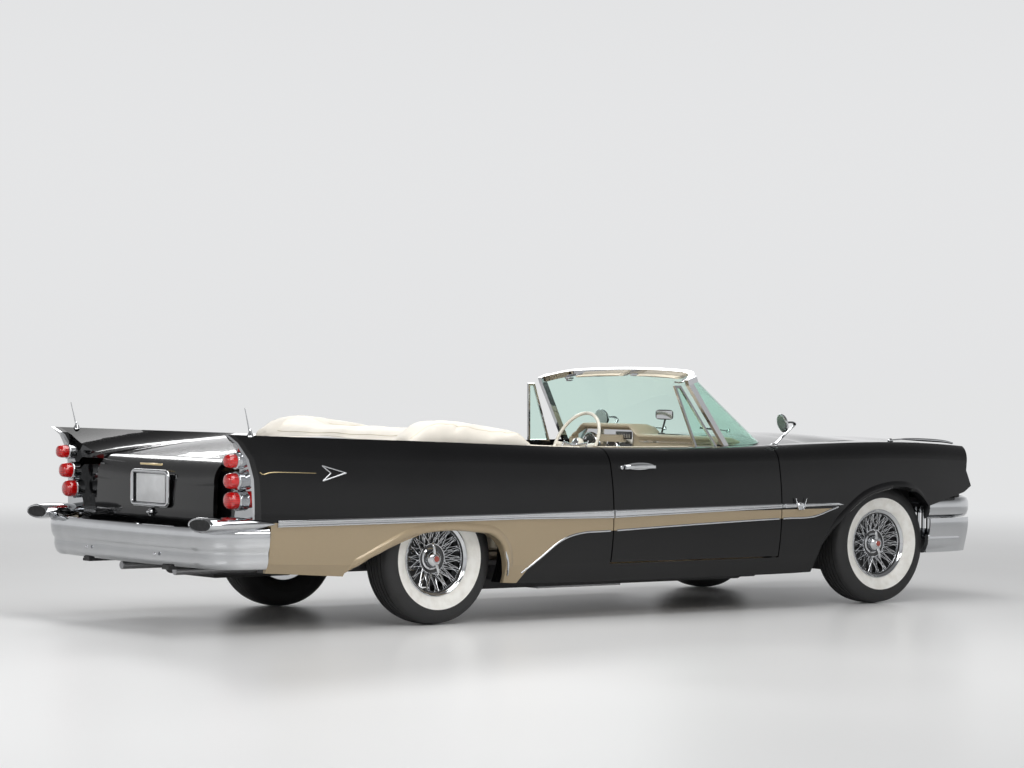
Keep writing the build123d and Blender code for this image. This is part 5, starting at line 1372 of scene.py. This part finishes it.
def makeDashPad():
    edge, foot = dash["half"], dash["foot"]
    last = len(dashSection(0)) - 1

    def place(u, v):
        x = -edge + 2 * edge * v
        distance, height = dashSection(x)[round(u * last)]
        ends = min(1.0, (edge - abs(x)) / 0.03)
        height = foot + (height - foot) * (0.35 + 0.65 * math.sqrt(max(0.0, 1 - (1 - ends) ** 2)))
        return Vector((x, at(distance), height))

    finishPiece(closeEnds(gridSheet(last, 150, place)), "dash_pad", "dash", "body", 50)


def onFace(x, z, out=dash["out"]):            # a place on the dashboard's face, this far out of it
    return Vector((x, at(dashFace(x) + out), z))


def makeDashPanel():
    parts = []
    for low, high, foot, head, proud in dash["sheets"]:
        sheet = gridSheet(40, 6, lambda u, v: onFace(low + (high - low) * u, foot + (head - foot) * v, proud))
        offset = -1 if sheet.data.polygons[0].normal.y > 0 else 1
        parts.append(tidyShell(thickened(sheet, proud - 0.001, offset)))
    for x, z, radius in dash["dials"]:
        parts.append(lathe([(radius + out, y) for out, y in dash["bezel"]], 56, onFace(x, z), "Y"))
    for kind, steps, z, places in dash["knobs"]:
        parts += [lathe(dash[kind], steps, onFace(x, z), "Y") for x in places]
    for index in range(dash["buttons"]):
        x = 0.156 + 0.017 * index
        y = at(dashFace(x))
        parts.append(slab((x, y + 0.009, 0.852), (x + 0.013, y + 0.019, 0.872), 0.0025))
    y = at(dashFace(-0.37) + 0.012)
    grip = [(-0.42 + 0.10 * k / 8, y + 0.008 * math.sin(math.pi * k / 8), 0.905) for k in range(9)]
    parts.append(tube(grip, 0.005, 8, (1, 0.8)))
    finishBright(parts, "dash_panel")


def makeDials():
    y = at(dashFace(dash["windowAt"]))
    faces, marks = [], []
    for x, z, radius in dash["dials"]:
        inner = radius - 0.004
        faces.append(lathe([(0.0, 0.0), (inner, 0.0), (inner, 0.003), (0.0, 0.0034)], 48, onFace(x, z), "Y"))
        spot = onFace(x, z, 0.0138)

        def ray(angle, share, out=0.0):
            return spot + Vector((radius * share * math.cos(angle), out, radius * share * math.sin(angle)))

        for step in range(dash["marks"]):
            angle = math.radians(220 - 260 * step / (dash["marks"] - 1))
            marks.append(tube([ray(angle, 0.76), ray(angle, 0.88)], 0.0009, 4, hold=rearward))
        pointer = [ray(0, 0, 0.001), ray(2.6, 0.7, 0.001)]
        marks.append(tube(pointer, 0.0012, 5, taper=lambda v: 1.2 - 0.8 * v, hold=rearward))
    for low, high, foot, head in dash["windows"]:
        faces.append(slab((low, y + 0.008, foot), (high, y + 0.0135, head), 0.002))
    finishPiece(joined(faces), "dash_dials", "dial", "body", 40)
    for step in range(dash["scale"]):
        x = 0.134 + 0.016 * step
        marks.append(slab((x, y + 0.0130, 0.966), (x + 0.0022, y + 0.0142, 0.990), 0))
    finishPiece(joined(marks), "dial_marks", "ivory", "body", 0)


def makeDashMirror():
    foot = lathe(dashMirror["foot"], 24, (0.020, at(0.955), 0.990), "Z")
    stem = tube(smoothLine([(x, at(s), z) for x, s, z in dashMirror["stem"]], 14), 0.006, 10)
    (wide, high), (distance, height), power = dashMirror["half"], dashMirror["at"], dashMirror["round"]

    def place(u, v):
        lift = math.sin(v * math.pi / 2)
        shrink = 1 - dashMirror["shrink"] * lift
        c, s = math.cos(wholeTurn * u), math.sin(wholeTurn * u)
        across = abs(c) ** power * math.copysign(wide, c) * shrink
        rise = abs(s) ** power * math.copysign(high, s) * shrink
        return Vector((across, at(distance) - dashMirror["depth"] * lift, height + rise))

    shell = closeEnds(gridSheet(48, 6, place))
    # Painted shade: the foot, stem and shell take the near-black dial finish so that the mirror looks as dark
    # as the shade it sits in.
    finishPiece(joined([foot, stem, shell]), "dash_mirror_painted_shade", "dial", "body", 40)
    face = slab((-0.074, at(0.9495), 1.084), (0.074, at(0.9520), 1.132), 0.0008)
    finishPiece(face, "dash_mirror_face", "chrome", "body", 0)


# Steering wheel: rim, two spokes and the horn ring, built flat and turned into place
steer = {
    "middle": (0.385, 1.320, 0.930), "rim": 0.200, "lean": 25.0, "ring": 0.118,
    "spoke": [(0.026, 0.008, -0.012), (0.080, 0.010, -0.016), (0.150, 0.006, -0.010), (0.197, 0.0, 0.0)],
    "hub": [(0.0, -0.030), (0.038, -0.030), (0.042, -0.020), (0.040, -0.004), (0.034, 0.006), (0.0, 0.008)],
    "hornSpoke": [(0.022, 0.012, 0.006), (0.070, 0.006, 0.005), (0.117, -0.004, 0.004)],
    "button": [(0.0, 0.006), (0.030, 0.007), (0.030, 0.012), (0.024, 0.017), (0.0, 0.019)],
    "lever": [(-0.024, 0.0, -0.075), (-0.090, 0.010, -0.070), (-0.150, 0.016, -0.052)],
    "knob": [(0.0, -0.010), (0.007, -0.006), (0.007, 0.006), (0.0, 0.010)], "knobAt": (-0.152, 0.016, -0.051),
}


def steerPlane():
    tilt = math.radians(90 - steer["lean"])
    normal = Vector((0, math.sin(tilt), math.cos(tilt)))
    across = Vector((1, 0, 0))
    x, distance, z = steer["middle"]
    axes = Matrix((across, normal.cross(across), normal)).transposed().to_4x4()
    return Matrix.Translation((x, at(distance), z)) @ axes


def makeSteeringWheel():
    turn = steerPlane()

    def circle(radius, degrees, z):
        angles = [math.radians(degree) for degree in degrees]
        return [Vector((radius * math.cos(angle), radius * math.sin(angle), z)) for angle in angles]

    def turned(pieces):
        piece = joined(pieces)
        piece.data.transform(turn)
        return piece

    rim = tube(circle(steer["rim"], [k * 3.75 for k in range(96)], 0), 0.0108, 14, (1.0, 0.92), closed=True)
    spokes, horn = [], [tube(circle(steer["ring"], [-8 + 196 * k / 48 for k in range(49)], 0.004), 0.0042, 10)]
    for way in (-1, 1):
        line = smoothLine([(way * x, y, z) for x, y, z in steer["spoke"]], 16)
        spokes.append(tube(line, 0.013, 12, (1.25, 0.55), lambda v: 1.25 - 0.45 * v))
        horn.append(tube([(way * x, y, z) for x, y, z in steer["hornSpoke"]], 0.0052, 10, (1.3, 0.7)))
    wheelBody = turned([rim, lathe(steer["hub"], 48)] + spokes)
    replaced = ["steering_wheel"]
    finishPiece(wheelBody, "steering_wheel_rim", "ivory", "steering_wheel", 50, replaced)
    ring = turned(horn + [lathe(steer["button"], 40)])
    finishPiece(ring, "horn_ring", "chrome", "steering_wheel", 50)
    lever = tube(smoothLine(steer["lever"], 10), 0.0036, 8)
    stalk = turned([lever, lathe(steer["knob"], 16, steer["knobAt"])])
    finishPiece(stalk, "turn_signal_lever", "chrome", "body", 40)


# Windscreen header: visors, latches and wipers
header = {"half": 0.702, "distance": 1.150, "bow": 0.172, "height": 1.352, "drop": 0.040, "under": 0.012}
wiper = {
    # side, and foot and tip across
    "sweeps": [(1, 0.300, 0.560), (-1, 0.300, 0.030)], "steps": 12, "low": 1.010, "rise": 0.016, "start": -3.2,
    "foot": [(0.0, -0.010), (0.013, -0.010), (0.013, 0.004), (0.008, 0.012), (0.0, 0.014)],
}


def headerSpot(x, drop=0.0, behind=0.0):      # a place under the header's rear edge, this far across
    share = abs(x) / header["half"]
    distance = header["distance"] + header["bow"] * (0.22 * share ** 2 + 0.78 * share ** 6)
    height = header["height"] - drop - header["drop"] * share ** 3
    return Vector((x, at(distance + header["under"] + behind), height))


def makeHeader():
    visors, bright = [], []
    for side, label in sides:
        def place(u, v):
            angle = wholeTurn * u
            spot = headerSpot(side * (0.085 + 0.385 * v), 0.006, 0.030)
            lift = 0.0075 * math.sin(angle) - 0.004 * math.cos(angle)
            return spot + Vector((0, 0.040 * math.cos(angle), lift))

        visors.append(closeEnds(gridSheet(18, 24, place)))
        rod = [headerSpot(side * x, drop, behind)
               for x, drop, behind in ((0.075, 0.004, 0.012), (0.075, 0.010, 0.036), (0.470, 0.010, 0.036))]
        bright.append(tube(rod, 0.0032, 8))
        latch = headerSpot(side * 0.560, 0.006, 0.010)
        bright.append(slab(latch - Vector((0.022, 0.010, 0.012)), latch + Vector((0.022, 0.030, 0.004)), 0.005))
        hook = [latch + Vector(step) for step in (
            (0, 0.020, -0.008), (-side * 0.020, 0.042, -0.020), (-side * 0.070, 0.040, -0.018))]
        bright.append(tube(smoothLine(hook, 10), 0.0065, 10, (1, 0.7)))
    finishPiece(tidyShell(joined(visors)), "sun_visors", "hide", "body", 50)
    middle = headerSpot(0, 0.004, 0.006)
    bright.append(slab(middle - Vector((0.030, 0.010, 0.010)), middle + Vector((0.030, 0.024, 0.004)), 0.004))
    finishBright(bright, "header_latches")


def makeWipers():
    arms, blades = [], []
    for side, foot, tip in wiper["sweeps"]:
        spots = []
        for k in range(wiper["steps"] + 1):
            t = k / wiper["steps"]
            start = Vector((side * (foot + (tip - foot) * t), wiper["start"], wiper["low"] + wiper["rise"] * t))
            hit, spot, normal, index = nodes["windscreen_glass"].ray_cast(start, Vector(rearward))
            if hit:
                outward = normal if normal.y < 0 else -normal
                spots.append(spot + outward * (0.012 - 0.004 * t))
        if len(spots) > 4:
            arms.append(tube(spots, 0.0034, 8, taper=lambda v: 1.3 - 0.5 * v))
            blades.append(tube([p - Vector((0, 0, 0.004)) for p in spots[4:]], 0.0040, 6))
            arms.append(lathe(wiper["foot"], 20, spots[0], "Z"))
    finishBright(arms, "wiper_arms", smooth=50)
    finishPiece(joined(blades), "wiper_blades", "rubber", "body", 50)


# Door cards, arm rests and rails
card = {
    "start": 0.905, "end": 2.082, "foot": 0.405, "head": 0.905, "pleat": 0.066, "pleats": (0.50, 0.80),
    "rail": [(0.7765, 0.912), (0.7755, 0.940), (0.7790, 0.9485), (0.7880, 0.9512), (0.8300, 0.9506),
             (0.8420, 0.9490), (0.8420, 0.9462), (0.7810, 0.9462), (0.7795, 0.912), (0.7765, 0.912)],
    "railStart": 1.452, "railEnd": 2.094, "railFoot": 0.9462, "railRay": (0.82, 1.3),
    "rest": ((0.796, 0.866), (1.330, 1.790), (0.655, 0.706)), "inner": 0.858,
    "crank": [(0.0, 0.0), (0.024, 0.0), (0.021, 0.010), (0.010, 0.014), (0.009, 0.024), (0.0, 0.025)],
    "knob": [(0.0, 0.0), (0.010, 0.0), (0.011, 0.012), (0.007, 0.020), (0.0, 0.022)],
    # distance, height, length and angle of the window crank and the latch lever
    "cranks": [(1.160, 0.640, 0.105, 35), (1.300, 0.800, 0.075, 170)], "strips": (0.515, 0.788),
}


def doorInner(z):                             # how far across the door's inner skin is at this height
    return 0.8738 if z > 0.60 else 0.842 + (z - 0.40) * 0.159


def makeDoorCard(side, label):
    low, high = card["pleats"]

    def place(u, v):
        distance = card["start"] + (card["end"] - card["start"]) * u
        height = card["foot"] + (card["head"] - card["foot"]) * v
        wave = abs(math.sin(math.pi * (distance - card["start"]) / card["pleat"])) ** 0.6
        blend = easeStep(height, low, low + 0.03) * (1 - easeStep(height, high - 0.03, high))
        puff = 0.006 + 0.009 * wave * blend + (0.004 if height > high else 0.0)
        edge = min(1.0, u / 0.01, (1 - u) / 0.01, v / 0.02, (1 - v) / 0.02)
        across = doorInner(height) - 0.0015 - puff * max(0.15, edge) ** 0.5
        return Vector((side * across, at(distance), height))

    panel = tidyShell(thickened(gridSheet(180, 34, place), 0.001))
    finishPiece(panel, f"door_card_{label}", "hide", f"door_{label}", 60)


def makeArmRest(side, label):
    (inner, outer), (start, end), (foot, head) = card["rest"]
    low, high = sorted((side * inner, side * outer))
    rest = slab((low, at(start), foot), (high, at(end), head), 0.018, 4)
    rest.modifiers.new("fine", "SUBSURF").levels = 2
    applyModifiers(rest)
    finishPiece(rest, f"door_arm_rest_{label}", "hide", f"door_{label}", 60)


def makeDoorRail(side, label):
    outline = card["rail"]
    across, above = card["railRay"]

    def place(u, v):
        x, z = outline[round(u * (len(outline) - 1))]
        y = at(card["railStart"] + (card["railEnd"] - card["railStart"]) * v)
        start = Vector((side * across, y, above))
        hit, spot, normal, index = nodes[f"door_{label}"].ray_cast(start, Vector(down))
        drop = card["railFoot"] - spot.z if hit else 0.0
        return Vector((side * x, y, z - drop + 0.0004))

    rail = closeEnds(gridSheet(len(outline) - 1, 60, place))
    finishPiece(rail, f"door_rail_{label}", "dash", f"door_{label}", 50)


def makeDoorBright(side, label):
    inner, out = card["inner"], "-X" if side > 0 else "X"
    bright = []
    for distance, height, reach, turn in card["cranks"]:
        bright.append(lathe(card["crank"], 28, (side * (inner + 0.006), at(distance), height), out))
        along, rise = reach * math.cos(math.radians(turn)), reach * math.sin(math.radians(turn))
        line = [(side * (inner - step), at(distance + along * share), height + rise * share)
                for step, share in ((0.014, 0), (0.020, 0.5), (0.020, 1))]
        bright.append(tube(line, 0.0062, 10, (1.2, 0.6), hold=(1, 0, 0)))
        tip = (side * (inner - 0.018), at(distance + along), height + rise)
        bright.append(lathe(card["knob"], 20, tip, out))
    for height in card["strips"]:
        x = side * (doorInner(height) - 0.0095)
        line = between((x, at(card["start"] + 0.006), height), (x, at(card["end"] - 0.006), height), 40)
        bright.append(tube(line, 0.0044, 8, (0.7, 1.0)))
    finishBright(bright, f"door_card_bright_{label}", f"door_{label}")


# Plain badges in place of the photographed ones
badge = {
    # lines of the dart as distance and height
    "dart": [[(4.018, 0.872), (3.872, 0.832)], [(4.022, 0.792), (3.872, 0.832)],
             [(4.018, 0.872), (3.968, 0.832), (4.022, 0.792)]],
    "line": [(4.400, 0.842), (4.380, 0.830), (4.345, 0.838), (4.290, 0.8405), (4.180, 0.8375), (4.060, 0.833)],
    "stud": [(0.0, 0.0), (0.024, 0.0), (0.023, 0.004), (0.015, 0.008), (0.0, 0.009)], "studAt": (0.743, 0.598),
    # distance from the stud's middle and height
    "upright": [(0.016, 0.578), (0.030, 0.612), (0.042, 0.644)],
}


def makeBadges(side, label):
    def skin(s, z, out):
        return Vector((skinX(["rear_quarters"], side, s, z, arch["skin"]) + side * out, at(s), z))

    bars = []
    for line in badge["dart"]:
        points = []
        for (s0, z0), (s1, z1) in zip(line, line[1:]):
            shares = [k / 10 for k in range(1 if points else 0, 11)]
            points += [skin(s0 + (s1 - s0) * k, z0 + (z1 - z0) * k, 0.002) for k in shares]
        bars.append(tube(points, 0.0042, 8, hold=(1, 0, 0)))
    finishBright(bars, f"fin_dart_{label}", smooth=50)
    line = smoothLine([skin(s, z, 0.0015) for s, z in badge["line"]], 24)
    gold = tube(line, 0.0028, 6, taper=lambda v: 1.1 - 0.5 * v, hold=(1, 0, 0))
    finishPiece(gold, f"fin_line_{label}", "brass", "body", 50)
    distance, height = badge["studAt"]
    base = skinX(["front_wings", "body_trims"], side, distance, 0.600, spear["skin"])
    spot = (base - side * 0.001, at(distance), height)
    parts = [lathe(badge["stud"], 32, spot, "X" if side > 0 else "-X")]
    for lean in (1, -1):
        spots = [(base + side * 0.003, at(distance + lean * reach), z) for reach, z in badge["upright"]]
        parts.append(tube(spots, 0.0062, 8, (0.7, 1.3), lambda v: 1.15 - 0.5 * v, hold=(1, 0, 0)))
    finishBright(parts, f"wing_stud_{label}", smooth=50)


# Engine dress and lamps
engine = {
    "rockerAt": 0.165, "rockerBolt": [(0.0, 0.0), (0.010, 0.0), (0.009, 0.007), (0.0, 0.009)],
    "cleaner": [(0.0, 0.858), (0.060, 0.858), (0.060, 0.868), (0.172, 0.870), (0.176, 0.876), (0.176, 0.893),
                (0.168, 0.899), (0.060, 0.9015), (0.0, 0.902)],
    "terminal": [(0.0, 0.0), (0.009, 0.0), (0.009, 0.016), (0.0, 0.017)],
    "hose": [(0.10, -0.300, 0.80), (0.12, -0.400, 0.815), (0.16, -0.500, 0.790), (0.17, -0.570, 0.760)],
    "cap": [(0.0, 0.0), (0.026, 0.0), (0.028, 0.006), (0.020, 0.014), (0.0, 0.016)],
    "fanHub": [(0.0, 0.0), (0.055, 0.0), (0.055, 0.010), (0.0, 0.012)],
    "fanHeight": 0.62, "blades": 4, "bladeTurn": 0.4, "bladeReach": (0.04, 0.11, 0.18), "bladeTwist": 0.35,
}
headlamp = {
    "ring": [(0.064, 0.004), (0.0725, 0.004), (0.0735, -0.001), (0.0725, -0.006), (0.0665, -0.007),
             (0.064, -0.002), (0.064, 0.004)],
    "middle": [(0.0, -0.0025), (0.0085, -0.002), (0.0085, 0.0), (0.0, 0.0005)],
    "across": (0.625, 0.793), "height": 0.778, "start": -1.3,
}


def makeEngineBay():
    enamel, metal = [], []
    for side, label in sides:
        x = side * engine["rockerAt"]
        enamel.append(slab((x - 0.062, at(-0.24), 0.858), (x + 0.062, at(0.30), 0.884), 0.010, 3))
        metal += [lathe(engine["rockerBolt"], 12, (x, at(-0.18 + 0.14 * k), 0.883), "Z") for k in range(4)]
    cleaner = lathe(engine["cleaner"], 56, (0.0, at(0.03), 0.0), "Z")
    black = [slab((0.300, at(-0.52), 0.640), (0.445, at(-0.28), 0.830), 0.008)]
    black.append(tube(smoothLine([(x, at(s), z) for x, s, z in engine["hose"]], 16), 0.022, 14))
    metal += [lathe(engine["terminal"], 16, (x, at(-0.46), 0.829), "Z") for x in (0.335, 0.410)]
    metal.append(lathe(engine["cap"], 28, (-0.16, at(-0.590), 0.799), "Z"))
    metal.append(lathe(engine["fanHub"], 36, (0.0, at(-0.31), engine["fanHeight"]), "Y"))
    for turn in range(engine["blades"]):
        angle = wholeTurn * turn / engine["blades"] + engine["bladeTurn"]
        c, s = math.cos(angle), math.sin(angle)
        height, twist = engine["fanHeight"], engine["bladeTwist"]
        points = [Vector((c * reach, at(-0.345), height + s * reach)) for reach in engine["bladeReach"]]
        metal.append(tube(points, 0.030, 8, (1.0, 0.10), hold=(-twist * s, 1, twist * c)))
    finishPiece(joined(enamel), "rocker_covers", "brass", "body", 40)
    finishPiece(cleaner, "air_cleaner", "dial", "body", 40)
    finishPiece(joined(black), "battery_and_hose", "rubber", "body", 40)
    finishPiece(joined(metal), "engine_fittings", "steel", "body", 40)


def makeHeadlampFaces():
    rings = []
    z = headlamp["height"]
    for x in (side * across for side, label in sides for across in headlamp["across"]):
        start = Vector((x, at(headlamp["start"]), z))
        hit, spot, normal, index = nodes["headlamps"].ray_cast(start, Vector(rearward))
        if hit:
            rings.append(lathe(headlamp["ring"], 48, (x, spot.y + 0.004, z), "Y"))
            rings.append(lathe(headlamp["middle"], 16, (x, spot.y + 0.001, z), "Y"))
    finishBright(rings, "headlamp_rings")


makeDashPad()
makeDashPanel()
makeDials()
makeDashMirror()
makeSteeringWheel()
print("stage: dashboard")
makeHeader()
makeWipers()
for side, label in sides:
    makeDoorCard(side, label)
    makeArmRest(side, label)
    makeDoorRail(side, label)
    makeDoorBright(side, label)
for side, label in sides:
    makeBadges(side, label)
makeEngineBay()
makeHeadlampFaces()
print("stage: cabin and engine")

# Stage
stage = {
    "floor": (0.74, 0.74, 0.735), "horizon": (0.77, 0.775, 0.78), "fadeStart": 3.9, "fadeEnd": 14.0,
    # sky: height of the view direction and its strength
    "sky": [(0.0, 0.80), (0.10, 0.80), (0.30, 0.52), (0.60, 0.24), (1.0, 0.16)],
    "skyColour": (0.965, 0.97, 0.98),
    # name, place, aim, size and power in watts
    "lamps": [("overhead", (-1.2, 0.6, 5.5), (0, 0.2, 0.5), (2.6, 8.5), 300.0),
              ("side", (-8.5, 3.0, 4.6), (0, 0.3, 0.6), (8.0, 1.6), 210.0),
              ("tail", (-3.0, 9.5, 4.2), (0, 2.0, 0.7), (4.0, 1.6), 130.0),
              ("far", (7.5, -3.0, 4.6), (0, 0, 0.7), (7.0, 1.6), 150.0)],
}


def makeFloor():
    clearSelection()
    bpy.ops.mesh.primitive_plane_add(size=400, location=(0, 0, 0))
    floor = bpy.context.object
    floor.name = "floor"
    f = Finish("floorPaint", color=stage["floor"])
    vector, (x, y, z) = f.place()
    f.feed("Roughness", f.noise(vector, 0.6, 2.0).ramp(0.3, 0.7, 0.29, 0.33))
    distance = (x.power(2.0) + y.power(2.0)).power(0.5)
    fade = f.node("MapRange", {"interpolation_type": "SMOOTHSTEP"},
                  [distance, stage["fadeStart"], stage["fadeEnd"], 0.0, 1.0])
    glow = f.node("Emission", {}, {"Color": stage["horizon"], "Strength": 1.0})
    mix = f.node("MixShader", {}, [fade])
    f.tree.links.new(f.shader.outputs[0], mix.socket.node.inputs[1])
    f.tree.links.new(glow.socket, mix.socket.node.inputs[2])
    f.tree.links.new(mix.socket, f.tree.nodes["Material Output"].inputs["Surface"])
    floor.data.materials.append(f.material)


def makeLight():
    for name, place, aim, size, power in stage["lamps"]:
        bpy.ops.object.light_add(type="AREA", location=place)
        light = bpy.context.object
        light.name = name
        light.data.shape = "RECTANGLE"
        light.data.size, light.data.size_y = size
        light.data.energy = power
        light.rotation_euler = (Vector(aim) - Vector(place)).to_track_quat("-Z", "Y").to_euler()
    world = bpy.data.worlds.new("studio")
    scene.world = world
    world.use_nodes = True
    tree = world.node_tree
    spot = tree.nodes.new("ShaderNodeTexCoord")
    split = tree.nodes.new("ShaderNodeSeparateXYZ")
    sky = tree.nodes.new("ShaderNodeFloatCurve")
    setCurve(sky, stage["sky"])
    tree.links.new(spot.outputs["Generated"], split.inputs[0])
    tree.links.new(split.outputs[2], sky.inputs["Value"])
    tree.links.new(sky.outputs[0], tree.nodes["Background"].inputs["Strength"])
    tree.nodes["Background"].inputs["Color"].default_value = (*stage["skyColour"], 1)


makeFloor()
makeLight()
print("stage: light")
